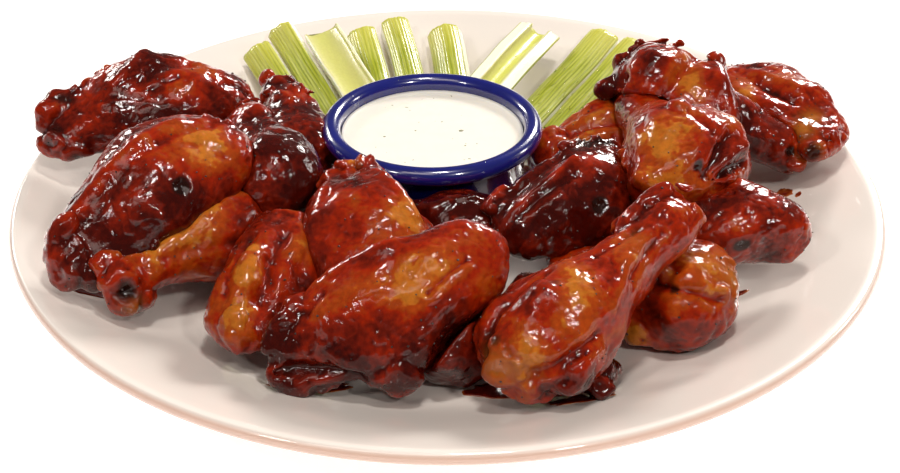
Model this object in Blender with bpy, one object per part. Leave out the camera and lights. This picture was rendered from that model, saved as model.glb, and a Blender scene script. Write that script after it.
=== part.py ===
"""A platter of glazed chicken wings: plate, wings, celery and a cup of creamy dip.

Run with: blender --background --python part.py
Lengths are in millimetres in the tables and in metres in Blender. +Z is up, and the origin is the centre of
the plate's foot on the table. The front of the platter faces -Y.
"""

import math

import bmesh
import bpy
from mathutils import Matrix, Vector, noise

MM = 0.001
GAP = 0.35  # clearance between pieces that touch

# Plate: a round dinner plate with a flat well and a wide sloping rim
PLATE_RADIUS = 152.5
PLATE_HEIGHT = 24.0
RIM_THICKNESS = 4.4
WELL_RADIUS = 100.0
WELL_Z = 6.0
RIM_CURVE = ((0.0, 0.0), (0.10, 0.025), (0.26, 0.16), (0.60, 0.56), (1.0, 1.0))  # (run, rise), well to lip
BELLY_RADIUS = 112.0  # where the underside starts to rise with the rim
BELLY_Z = 5.0
FOOT_RADIUS = 89.5
FOOT_WIDTH = 5.5
FOOT_HEIGHT = 2.6
BASE_Z = 1.4
PLATE_FACETS = 52

# Dip cup: a straight-sided cup with a rolled rim
CUP_CENTRE = (-5.5, 14.0)
CUP_RIM_RADIUS = 36.2  # to the middle of the roll
CUP_ROLL_RADIUS = 3.3
CUP_TOP_Z = 42.0
CUP_FOOT_RADIUS = 29.5
CUP_FOOT_ROUND = 2.0
CUP_WALL = 3.4
CUP_FLOOR = 4.0
CUP_NECK = 0.8  # how far the inside draws in below the roll
CUP_NECK_DEPTH = 6.0
CUP_FACETS = 28
DIP_TOP_Z = CUP_TOP_Z - 4.8

# Celery: a stalk is a curved strip, ribbed outside and hollow inside
CELERY_WALL = 4.6
CELERY_FOOT = 1.2  # flat edge between its cut side and its hollow
CELERY_TAPER = 0.06
CELERY_SAG = 0.8
CELERY_ARC_STEPS = 6
CELERY_STATIONS = 2

# Wings: an uneven surface, bumps of this height and span
UNEVEN_HEIGHT = 1.6
UNEVEN_SPAN = 24.0
UNEVEN_SEED = 5
SLIVER = 0.02  # shorter edges that a cut leaves are closed up

FLAT, DRUMETTE = "flat", "drumette"
FINE, COARSE = (12, 11), (10, 8)  # facets around and along a wing

# Half-width along the piece from its bone end (0) to its meaty end (1), as a share of the widest
GIRTHS = {
    FLAT: ((0.0, 0.62), (0.12, 0.66), (0.30, 0.88), (0.55, 1.0), (0.80, 0.93), (1.0, 0.78)),
    DRUMETTE: ((0.0, 0.56), (0.09, 0.57), (0.24, 0.45), (0.42, 0.60), (0.62, 0.90), (0.80, 1.0), (1.0, 0.86)),
}

# Bulges and hollows that every piece of a kind has:
# place along the piece, degrees round it from the skin side, height, radius
LUMPS = {
    FLAT: (
        (0.03, 62, 3.2, 8), (0.03, -62, 2.8, 8),
        (0.12, 0, -2.2, 9),
        (0.96, 55, 2.4, 9), (0.96, -60, 2.2, 10),
        (0.45, 180, -2.5, 18),
    ),
    DRUMETTE: (
        (0.03, 75, 2.4, 7), (0.03, -85, 2.6, 7), (0.0, 0, -1.6, 5),
        (0.72, 125, 3.0, 14), (0.66, -110, 2.6, 13),
        (0.96, 20, 2.6, 9), (0.93, -75, 2.4, 9),
    ),
}

# Each wing piece: name, kind, tip of the bone end, tip of the meaty end, direction that its skin side faces,
# width and thickness at the widest, how far its middle bows towards the skin side and sideways, facets,
# own lumps. Those on top come first: a later piece gives way where an earlier one presses on it.
WINGS = (
    ("flat_front", FLAT, (-54, -101, 15), (19, -75, 46), (-0.1, -0.75, 0.65), 37, 25, 2, -3, FINE,
     ((0.45, -80, 5.0, 14), (0.45, 88, 3.0, 16), (0.80, -85, -2.0, 12))),
    ("drumette_front_right", DRUMETTE, (77, -61, 50), (12, -109, 19), (-0.2, -0.6, 0.75), 39, 38, 2, 2, FINE,
     ((0.80, 60, 3.0, 12), (0.74, -45, -3.0, 9), (0.98, -35, 3.5, 8), (0.02, 90, 3.0, 8))),
    ("flat_left", FLAT, (-124, -65, 29), (-69, -14, 50), (-0.1, -0.70, 0.70), 39, 27, 3, 2, FINE,
     ((0.62, 80, 3.0, 15), (0.12, -60, 3.0, 10))),
    ("flat_back_left", FLAT, (-144, 14, 36), (-70, 37, 36), (-0.05, -0.55, 0.80), 37, 25, 3, 3, FINE,
     ((0.05, 80, 3.0, 7), (0.05, -75, 3.5, 8), (0.45, 75, 3.0, 15))),
    ("flat_centre", FLAT, (-32, -20, 40), (-20, -78, 26), (0.0, -0.30, 0.95), 41, 25, 3, 0, FINE,
     ((0.05, 60, 2.5, 8), (0.55, 95, 3.5, 15), (0.60, -90, 3.0, 15))),
    ("flat_front_left", FLAT, (-65, -91, 17), (-49, -39, 30), (-0.25, -0.45, 0.85), 36, 26, 2, 0, FINE,
     ((0.30, 10, 3.5, 9), (0.10, 20, 3.0, 8), (0.45, -45, -3.0, 9), (0.5, 60, -2.5, 9))),
    ("drumette_upper_right", DRUMETTE, (68, 38, 38), (84, -42, 44), (-0.2, -0.5, 0.85), 42, 41, 0, 0, FINE,
     ((0.90, -60, 4.0, 10), (0.84, 0, -3.0, 8), (0.78, 70, 3.5, 12), (0.98, 60, -3.0, 8))),
    ("drumette_back_right", DRUMETTE, (131, 16, 25), (61, 44, 43), (-0.1, -0.5, 0.85), 40, 39, 2, 0, FINE,
     ((0.45, 10, 5.0, 8), (0.62, 5, -3.5, 7), (0.86, 25, 4.0, 9), (0.90, -55, 3.0, 9), (0.99, -40, 3.0, 7))),
    ("flat_back_right", FLAT, (141, 14, 30), (98, 68, 27), (0.1, -0.45, 0.90), 42, 26, 2, -3, FINE,
     ((0.60, 0, -3.0, 10), (0.75, 70, 3.5, 12), (0.05, 40, 3.0, 8))),
    ("flat_right", FLAT, (58, -38, 21), (123, -53, 28), (0.05, -0.55, 0.85), 32, 23, 2, 4, FINE,
     ((0.60, 85, 3.0, 13),)),
    ("flat_centre_right", FLAT, (18, -45, 27), (66, -10, 32), (-0.2, -0.70, 0.65), 37, 25, 3, 0, FINE,
     ((0.12, 85, 3.5, 8), (0.80, 80, 3.0, 10))),
    ("drumette_right", DRUMETTE, (34, -38, 18), (91, -78, 22), (-0.1, -0.6, 0.80), 37, 35, 0, 0, FINE,
     ((0.86, -20, 3.5, 10), (0.88, 25, -3.5, 7), (0.86, 70, 3.0, 9), (0.95, -60, 3.0, 9))),
    ("drumette_front_left", DRUMETTE, (-107, -73, 26), (-67, -23, 25), (-0.3, -0.5, 0.80), 35, 34, 2, 0, FINE,
     ((0.04, 0, 2.5, 7), (0.42, 90, 1.5, 10))),
    ("drumette_beside_cup", DRUMETTE, (-74, 26, 38), (-53, -36, 31), (-0.2, -0.45, 0.85), 36, 35, 2, 0, FINE,
     ((0.80, -60, 3.0, 11), (0.30, -60, 3.0, 9))),
    ("drumette_by_celery", DRUMETTE, (-66, 56, 34), (-50, -6, 26), (-0.2, -0.5, 0.85), 34, 33, 0, 0, COARSE,
     ((0.22, 70, 4.0, 9), (0.40, 60, 3.5, 9), (0.05, -10, 4.0, 6))),
    ("flat_beside_cup", FLAT, (36, 22, 22), (92, 34, 26), (-0.1, -0.4, 0.90), 36, 22, 2, 0, COARSE,
     ((0.50, 40, 2.5, 9), (0.50, 0, -2.0, 7))),
    ("flat_under_back", FLAT, (54, 50, 21), (118, 62, 26), (0.0, -0.3, 0.95), 32, 20, 0, 0, COARSE, ()),
    ("drumette_under_left", DRUMETTE, (-125, 2, 26), (-62, 4, 25), (0.0, -0.4, 0.90), 38, 36, 0, 0, COARSE,
     ((0.02, -70, 3.0, 7),)),
    ("drumette_before_cup", DRUMETTE, (-40, -26, 21), (24, -32, 21), (0.0, -0.4, 0.9), 32, 31, 0, 0, COARSE,
     ()),
    ("drumette_under_front", DRUMETTE, (8, -34, 17), (-2, -106, 20), (0.0, -0.4, 0.9), 33, 30, 0, 0, COARSE,
     ()),
    ("flat_under_right", FLAT, (46, -106, 14), (26, -50, 16), (0.3, -0.4, 0.85), 24, 13, 0, 0, COARSE, ()),
)

# Each celery stick: name, end on the rim, end by the cup, width, share of a half circle that it curls through,
# whether its sides are cut upright, direction that its ribbed back faces. One whose back faces down shows its
# hollow.
STICKS = (
    ("celery_1", (-78.4, 107.2, 24.5), (-49.5, 46, 12.8), 13.3, 0.42, True, (-0.39, -0.35, 0.85)),
    ("celery_2", (-70.2, 121.8, 27.2), (-38.0, 50, 12.2), 11.4, 0.40, True, (-0.50, -0.39, 0.77)),
    ("celery_3", (-52.0, 117.8, 27.0), (-23.8, 46, 18.4), 15.0, 0.32, True, (0.17, 0.14, -0.98)),
    ("celery_4", (-36.4, 127.0, 23.3), (-22.5, 54, 11.4), 13.2, 0.42, True, (-0.25, -0.19, 0.95)),
    ("celery_5", (-22.6, 134.8, 24.4), (-7.8, 57, 10.9), 12.6, 0.55, True, (-0.04, -0.17, 0.98)),
    ("celery_6", (-2.4, 128.0, 23.2), (4.5, 57, 13.6), 14.6, 0.62, True, (-0.43, -0.16, 0.89)),
    ("celery_7", (38.0, 118.8, 26.5), (9.4, 60, 22.5), 18.6, 0.79, False, (-0.17, 0.13, -0.98)),
    ("celery_8", (65.5, 121.5, 24.6), (21.0, 52, 10.3), 14.4, 0.42, True, (-0.09, -0.14, 0.99)),
    ("celery_9", (77.8, 113.4, 24.3), (33.4, 44.0, 10.6), 13.0, 0.45, True, (0.02, -0.18, 0.98)),
)


def mm(point):
    """A point of the tables, in metres."""
    return Vector(point) * MM


def clear_scene():
    for obj in list(bpy.data.objects):
        bpy.data.objects.remove(obj, do_unlink=True)


def finish_material(name, colour, roughness, metallic=0.0):
    """A plain Principled material; colour is linear RGB."""
    material = bpy.data.materials.new(name)
    material.use_nodes = True
    shader = material.node_tree.nodes["Principled BSDF"]
    shader.inputs["Base Color"].default_value = (*colour, 1.0)
    shader.inputs["Roughness"].default_value = roughness
    shader.inputs["Metallic"].default_value = metallic
    return material


def face_outwards(bm):
    """Turns every face of a closed body outwards."""
    bmesh.ops.recalc_face_normals(bm, faces=bm.faces)
    if bm.calc_volume(signed=True) < 0:
        bmesh.ops.reverse_faces(bm, faces=bm.faces)


def add_object(name, bm, material):
    """Makes a closed bmesh a smooth-shaded object, whose points say where it stands."""
    face_outwards(bm)
    mesh = bpy.data.meshes.new(name)
    bm.to_mesh(mesh)
    bm.free()
    mesh.shade_smooth()
    mesh.set_sharp_from_angle(angle=math.radians(50))
    mesh.materials.append(material)
    obj = bpy.data.objects.new(name, mesh)
    bpy.context.scene.collection.objects.link(obj)
    return obj


def between(stops, x):
    """The value at x of a curve that runs smoothly through (x, value) stops."""
    for (x0, v0), (x1, v1) in zip(stops, stops[1:]):
        if x <= x1:
            share = (x - x0) / (x1 - x0)
            return v0 + (v1 - v0) * (3 - 2 * share) * share * share
    return stops[-1][1]


def turned(name, profile, facets, centre, material):
    """A closed solid turned about a vertical axis. The profile's (radius, z) points begin and end on it."""
    bm = bmesh.new()
    points = [bm.verts.new(mm((radius, 0, z))) for radius, z in profile]
    edges = [bm.edges.new(pair) for pair in zip(points, points[1:])]
    bmesh.ops.spin(bm, geom=points + edges, axis=(0, 0, 1), cent=(0, 0, 0), angle=math.tau, steps=facets,
                   use_merge=True)
    bmesh.ops.remove_doubles(bm, verts=bm.verts, dist=SLIVER * MM)
    bmesh.ops.translate(bm, verts=bm.verts, vec=mm((*centre, 0)))
    return add_object(name, bm, material)


def arc(centre, radius, start, end, steps):
    """Points of a profile's round stretch, between two angles in degrees."""
    angles = [math.radians(start + (end - start) * i / steps) for i in range(steps + 1)]
    return [(centre[0] + radius * math.cos(a), centre[1] + radius * math.sin(a)) for a in angles]


def plate_top(lift=0.0):
    """The plate's upper face from its axis to the lip: a flat well, a soft bend and a slightly hollow rim."""
    rim_run = PLATE_RADIUS - RIM_THICKNESS / 2 - WELL_RADIUS
    rise = PLATE_HEIGHT - WELL_Z
    rim = [(WELL_RADIUS + run * rim_run, WELL_Z + up * rise + lift) for run, up in RIM_CURVE]
    return [(0, WELL_Z + lift)] + rim


def plate_profile():
    lip_centre = (PLATE_RADIUS - RIM_THICKNESS / 2, PLATE_HEIGHT - RIM_THICKNESS / 2)
    lip = arc(lip_centre, RIM_THICKNESS / 2, 70, -80, 4)
    foot_inside = FOOT_RADIUS - FOOT_WIDTH
    underside = [(BELLY_RADIUS, BELLY_Z), (FOOT_RADIUS + BASE_Z, FOOT_HEIGHT), (FOOT_RADIUS, 0),
                 (foot_inside, 0), (foot_inside - BASE_Z, BASE_Z), (0, BASE_Z)]
    return plate_top()[:-1] + lip + underside


def cup_outside(room=0.0):
    """The cup's outline from the middle of its top round to the middle of its foot, with room all round."""
    roll = (CUP_RIM_RADIUS, CUP_TOP_Z - CUP_ROLL_RADIUS)
    foot_z = WELL_Z + GAP
    wall_top = (CUP_RIM_RADIUS - CUP_ROLL_RADIUS + CUP_WALL / 2 + room, roll[1] - CUP_ROLL_RADIUS * 1.45)
    foot_radius = CUP_FOOT_RADIUS + room
    foot = [(foot_radius + CUP_FOOT_ROUND, foot_z + 2 * CUP_FOOT_ROUND), (foot_radius, foot_z), (0, foot_z)]
    return [(0, CUP_TOP_Z + room)] + arc(roll, CUP_ROLL_RADIUS + room, 90, -60, 5) + [wall_top] + foot


def cup_profile():
    roll = (CUP_RIM_RADIUS, CUP_TOP_Z - CUP_ROLL_RADIUS)
    floor_z = WELL_Z + GAP + CUP_FLOOR
    neck = (CUP_RIM_RADIUS - CUP_ROLL_RADIUS - CUP_NECK, roll[1] - CUP_NECK_DEPTH)
    inside = [(0, floor_z), (CUP_FOOT_RADIUS - CUP_WALL, floor_z), neck]
    return inside + arc(roll, CUP_ROLL_RADIUS, 180, 120, 2) + cup_outside()[1:]


def dip_profile():
    """The dip fills the cup to its level, a hair's breadth clear of the wall."""
    floor_z = WELL_Z + GAP + CUP_FLOOR
    wall_radius = CUP_RIM_RADIUS - CUP_ROLL_RADIUS
    neck = (wall_radius - CUP_NECK - GAP, CUP_TOP_Z - CUP_ROLL_RADIUS - CUP_NECK_DEPTH)
    return [(0, DIP_TOP_Z), (wall_radius - GAP, DIP_TOP_Z), neck,
            (CUP_FOOT_RADIUS - CUP_WALL - GAP, floor_z + GAP), (0, floor_z + GAP)]


def wing_surface(kind, width, thickness, length, bow, sway):
    """A function from (place along the piece, angle round it) to a point in the piece's frame, in millimetres.
    X runs from the bone end to the meaty end, and Z towards the skin side."""
    squareness = 4.2 if kind == FLAT else 3.6
    underside = 0.82 if kind == FLAT else 1.0

    def point(along, angle):
        blunt = math.sqrt(max(0.0, 1 - abs(1 - 2 * along) ** squareness))
        girth = between(GIRTHS[kind], along) * blunt
        arch = math.sin(math.pi * along)
        across, up = math.sin(angle), math.cos(angle)
        if up < 0:
            up *= underside
        sideways = width / 2 * girth * across + sway * arch
        return Vector((along * length, sideways, thickness / 2 * girth * up + bow * arch))
    return point


def push_out(bm, centre, outward, height, radius):
    """Raises a round bulge, or sinks a hollow where the height is negative."""
    for vert in bm.verts:
        vert.co += outward * height * math.exp(-((vert.co - centre).length / radius) ** 2)


def grow_skin(bm, distance):
    """Moves every point out along its normal."""
    bm.normal_update()
    places = [vert.co + vert.normal * distance for vert in bm.verts]
    for vert, place in zip(bm.verts, places):
        vert.co = place


def placed(start, end, faces):
    """The matrix from a piece's own frame, in millimetres, to where it lies: X to its end, Z as it faces."""
    x_axis = (Vector(end) - Vector(start)).normalized()
    toward = Vector(faces)
    z_axis = (toward - toward.dot(x_axis) * x_axis).normalized()
    y_axis = z_axis.cross(x_axis)
    turn = Matrix((x_axis, y_axis, z_axis)).transposed().to_4x4()
    return Matrix.Scale(MM, 4) @ Matrix.Translation(Vector(start)) @ turn


def wing_mesh(row, grow=0.0):
    """A wing piece as a bmesh in place. With grow, its skin is that many millimetres further out."""
    name, kind, tail, head, faces, width, thickness, bow, sway, facets, own_lumps = row
    length = (Vector(head) - Vector(tail)).length
    surface = wing_surface(kind, width, thickness, length, bow, sway)
    bm = bmesh.new()
    bmesh.ops.create_uvsphere(bm, u_segments=facets[0], v_segments=facets[1], radius=1.0)
    for vert in bm.verts:
        along = math.acos(max(-1.0, min(1.0, vert.co.z))) / math.pi
        vert.co = surface(along, math.atan2(vert.co.y, vert.co.x))
    for along, degrees, height, radius in LUMPS[kind] + own_lumps:
        centre = surface(along, math.radians(degrees))
        inside = min(0.85, max(0.15, along))
        middle = (surface(inside, 0.0) + surface(inside, math.pi)) / 2
        push_out(bm, centre, (centre - middle).normalized(), height, radius)
    seed = Vector((7.3 * len(name), 3.1 * length, 1.7 * width))
    for vert in bm.verts:
        vert.co += noise.noise_vector(vert.co / UNEVEN_SPAN + seed) * UNEVEN_HEIGHT
    bmesh.ops.triangulate(bm, faces=bm.faces)
    face_outwards(bm)
    if grow:
        grow_skin(bm, grow)
    bmesh.ops.transform(bm, matrix=placed(tail, head, faces), verts=bm.verts)
    return bm


def stick_section(width, curl, upright):
    """The outline of a stalk across its length, as (y, z) points, with the ribbed back at the top.

    Its sides are cut upright, or else square to its back."""
    half_angle = curl * math.pi / 2
    outer = width / 2 / math.sin(half_angle)
    angles = [half_angle * (1 - 2 * i / CELERY_ARC_STEPS) for i in range(CELERY_ARC_STEPS + 1)]
    points = [(outer * math.sin(a), outer * math.cos(a)) for a in angles]
    lean = 0 if upright else half_angle
    side = (width / 2 - CELERY_WALL * math.sin(lean),
            outer * math.cos(half_angle) - CELERY_WALL * math.cos(lean))
    foot, crown = side[0] - CELERY_FOOT, outer - CELERY_WALL
    points.append((-side[0], side[1]))
    for i in range(CELERY_ARC_STEPS + 1):
        turn = math.pi / 2 * (2 * i / CELERY_ARC_STEPS - 1)
        points.append((foot * math.sin(turn), side[1] + (crown - side[1]) * math.cos(turn)))
    points.append(side)
    middle = (outer + min(side[1], points[0][1])) / 2
    return [(y, z - middle) for y, z in points]


def stick_mesh(row, grow=0.0):
    """A celery stick as a bmesh in place: its section drawn from the rim to the cup, narrowing a little."""
    name, far, near, width, curl, upright, faces = row
    length = (Vector(near) - Vector(far)).length
    bm = bmesh.new()
    end = bm.faces.new([bm.verts.new((0, y, z)) for y, z in stick_section(width, curl, upright)])
    for station in range(CELERY_STATIONS):
        extruded = bmesh.ops.extrude_face_region(bm, geom=[end])["geom"]
        if station:
            bmesh.ops.delete(bm, geom=[end], context="FACES_ONLY")
        end = next(item for item in extruded if isinstance(item, bmesh.types.BMFace))
        bmesh.ops.translate(bm, verts=end.verts, vec=(length / CELERY_STATIONS, 0, 0))
    for vert in bm.verts:
        share = vert.co.x / length
        vert.co.y *= 1 - CELERY_TAPER * share
        vert.co.z -= CELERY_SAG * math.sin(math.pi * share)
    face_outwards(bm)
    if grow:
        grow_skin(bm, grow)
    bmesh.ops.transform(bm, matrix=placed(far, near, faces), verts=bm.verts)
    return bm


def largest_body(bm):
    """Deletes all but the body with the most points, such as the crumbs that a cut leaves."""
    bodies = []
    unseen = set(bm.verts)
    while unseen:
        body, edge_of_body = set(), [unseen.pop()]
        while edge_of_body:
            vert = edge_of_body.pop()
            body.add(vert)
            near = {edge.other_vert(vert) for edge in vert.link_edges} & unseen
            unseen -= near
            edge_of_body.extend(near)
        bodies.append(body)
    bodies.sort(key=len)
    for body in bodies[:-1]:
        bmesh.ops.delete(bm, geom=list(body), context="VERTS")


def give_way(obj, cutters):
    """Hollows a piece where its neighbours press on it, so that both stay whole and apart."""
    for cutter in cutters:
        press = obj.modifiers.new("press_" + cutter.name, "BOOLEAN")
        press.operation = "DIFFERENCE"
        press.object = cutter
    bpy.context.view_layer.update()
    evaluated = obj.evaluated_get(bpy.context.evaluated_depsgraph_get())
    bm = bmesh.new()
    bm.from_mesh(evaluated.to_mesh())
    evaluated.to_mesh_clear()
    obj.modifiers.clear()
    bmesh.ops.remove_doubles(bm, verts=bm.verts, dist=SLIVER * MM)
    bmesh.ops.dissolve_degenerate(bm, edges=bm.edges, dist=SLIVER * MM)
    largest_body(bm)
    face_outwards(bm)
    bmesh.ops.triangulate(bm, faces=bm.faces)
    bm.to_mesh(obj.data)
    bm.free()
    obj.data.shade_smooth()
    obj.data.set_sharp_from_angle(angle=math.radians(50))


def touching(bounds_a, bounds_b):
    """Whether two boxes, each a lowest and a highest corner, meet."""
    return all(bounds_a[0][i] < bounds_b[1][i] and bounds_b[0][i] < bounds_a[1][i] for i in range(3))


def bounds(obj):
    points = [vert.co for vert in obj.data.vertices]
    return [min(p[i] for p in points) for i in range(3)], [max(p[i] for p in points) for i in range(3)]


def heap_up(rows, fixed, glaze):
    """Makes the wing pieces from the top of the heap down, each giving way to those above and what is fixed."""
    cutters = list(fixed)
    for row in rows:
        piece = add_object(row[0], wing_mesh(row), glaze)
        give_way(piece, [cutter for cutter in cutters if touching(bounds(piece), bounds(cutter))])
        cutters.append(add_object(row[0] + "_room", wing_mesh(row, GAP), glaze))
    for cutter in cutters:
        bpy.data.objects.remove(cutter, do_unlink=True)


def main():
    clear_scene()
    noise.seed_set(UNEVEN_SEED)
    china = finish_material("glazed_china", (0.80, 0.74, 0.68), 0.15)
    cobalt = finish_material("cobalt_glaze", (0.01, 0.02, 0.20), 0.12)
    cream = finish_material("creamy_dip", (0.86, 0.83, 0.76), 0.35)
    celery = finish_material("celery_flesh", (0.38, 0.50, 0.10), 0.4)
    glaze = finish_material("glazed_chicken", (0.30, 0.035, 0.008), 0.2)
    turned("plate", plate_profile(), PLATE_FACETS, (0, 0), china)
    turned("dip_cup", cup_profile(), CUP_FACETS, CUP_CENTRE, cobalt)
    turned("dip", dip_profile(), CUP_FACETS, CUP_CENTRE, cream)
    beyond = 1.2 * PLATE_RADIUS
    plate_room = plate_top(GAP) + [(beyond, PLATE_HEIGHT), (beyond, 0), (0, 0)]
    fixed = [turned("plate_room", plate_room, PLATE_FACETS, (0, 0), china),
             turned("cup_room", cup_outside(GAP), CUP_FACETS, CUP_CENTRE, cobalt)]
    for row in STICKS:
        add_object(row[0], stick_mesh(row), celery)
        fixed.append(add_object(row[0] + "_room", stick_mesh(row, GAP), celery))
    heap_up(WINGS, fixed, glaze)


if __name__ == "__main__":
    main()
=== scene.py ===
"""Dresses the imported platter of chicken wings: china plate, cobalt cup of dip, celery and sauced wings.

Lengths in the tables are millimetres and angles are degrees. The front of the platter faces -Y.
"""

import math
import random
from itertools import product

import bmesh
import bpy
import numpy as np
from mathutils import Matrix, Vector, noise


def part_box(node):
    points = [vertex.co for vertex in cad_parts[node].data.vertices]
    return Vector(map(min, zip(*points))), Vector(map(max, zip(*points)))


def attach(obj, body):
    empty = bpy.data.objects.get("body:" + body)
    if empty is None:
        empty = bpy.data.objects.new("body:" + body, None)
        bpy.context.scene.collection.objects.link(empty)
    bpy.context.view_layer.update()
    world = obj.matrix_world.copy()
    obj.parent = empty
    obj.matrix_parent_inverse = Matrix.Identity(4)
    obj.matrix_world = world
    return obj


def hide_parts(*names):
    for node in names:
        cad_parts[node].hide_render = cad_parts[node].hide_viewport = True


bl_info = {
    "name": "Chicken wing platter",
    "version": (1, 0, 0),
    "blender": (4, 5, 0),
    "location": "View3D > Sidebar > Platter",
    "description": "Dresses a platter of sauced chicken wings with celery and a cup of dip",
    "category": "Object",
}

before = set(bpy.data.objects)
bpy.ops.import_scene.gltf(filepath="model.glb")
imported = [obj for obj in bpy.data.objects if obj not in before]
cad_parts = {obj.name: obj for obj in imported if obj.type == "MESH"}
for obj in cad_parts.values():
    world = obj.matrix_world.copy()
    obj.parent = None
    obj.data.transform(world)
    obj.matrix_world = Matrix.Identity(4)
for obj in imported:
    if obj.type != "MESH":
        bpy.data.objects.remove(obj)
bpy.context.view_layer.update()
MM = 0.001

# ---------------------------------------------------------------- the plate, the cup and the dip

PLATE_TURN = 168  # facets round the plate
PLATE_LOW, PLATE_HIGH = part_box("plate")
PLATE_RADIUS = (PLATE_HIGH[0] - PLATE_LOW[0]) / 2 / MM
PLATE_HEIGHT = PLATE_HIGH[2] / MM
RIM_THICKNESS = 4.4
WELL_RADIUS = 100.0
WELL_Z = 6.0
RIM_CURVE = ((0.0, 0.0), (0.10, 0.025), (0.26, 0.16), (0.60, 0.56), (1.0, 1.0))
BELLY = (112.0, 5.0)
FOOT_RADIUS = 89.5
FOOT_WIDTH = 5.5
FOOT_HEIGHT = 2.6
BASE_Z = 1.4

CUP_TURN = 120
CUP_CENTRE = (-5.5, 14.0)
CUP_RIM_RADIUS = 36.2
CUP_ROLL_RADIUS = 3.3
CUP_TOP_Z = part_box("dip_cup")[1][2] / MM
CUP_FOOT_RADIUS = 29.5
CUP_WALL = 3.4
CUP_FLOOR_Z = 10.35
CUP_NECK = 0.8
CUP_NECK_DEPTH = 6.0
DIP_TOP_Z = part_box("dip")[1][2] / MM
DIP_RADIUS = CUP_RIM_RADIUS - CUP_ROLL_RADIUS

# ---------------------------------------------------------------- the celery

# name: end on the rim, end by the cup, width, share of a half circle that it curls through, whether its sides
# are cut upright, way its back faces, seed. Where the back faces down the hollow shows.
STICKS = {
    "celery_1": ((-78.4, 107.2, 24.5), (-49.5, 46, 12.8), 13.3, 0.42, True, (-0.39, -0.35, 0.85), 1),
    "celery_2": ((-70.2, 121.8, 27.2), (-38.0, 50, 12.2), 11.4, 0.40, True, (-0.50, -0.39, 0.77), 2),
    "celery_3": ((-52.0, 117.8, 27.0), (-23.8, 46, 18.4), 15.0, 0.32, True, (0.17, 0.14, -0.98), 3),
    "celery_4": ((-36.4, 127.0, 23.3), (-22.5, 54, 11.4), 13.2, 0.42, True, (-0.25, -0.19, 0.95), 4),
    "celery_5": ((-22.6, 134.8, 24.4), (-7.8, 57, 10.9), 12.6, 0.55, True, (-0.04, -0.17, 0.98), 5),
    "celery_6": ((-2.4, 128.0, 23.2), (4.5, 57, 13.6), 14.6, 0.62, True, (-0.43, -0.16, 0.89), 6),
    "celery_7": ((38.0, 118.8, 26.5), (9.4, 60, 22.5), 18.6, 0.79, False, (-0.17, 0.13, -0.98), 7),
    "celery_8": ((65.5, 121.5, 24.6), (21.0, 52, 10.3), 14.4, 0.42, True, (-0.09, -0.14, 0.99), 8),
    "celery_9": ((77.8, 113.4, 24.3), (33.4, 44.0, 10.6), 13.0, 0.45, True, (0.02, -0.18, 0.98), 9),
}
CELERY_WALL = 4.6
CELERY_FOOT = 1.2
CELERY_TAPER = 0.06
CELERY_SAG = 0.8
RIB_SPACING = 1.55
RIB_HEIGHT = 0.14
STICK_STATIONS = 46

# ---------------------------------------------------------------- the wings

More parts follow.
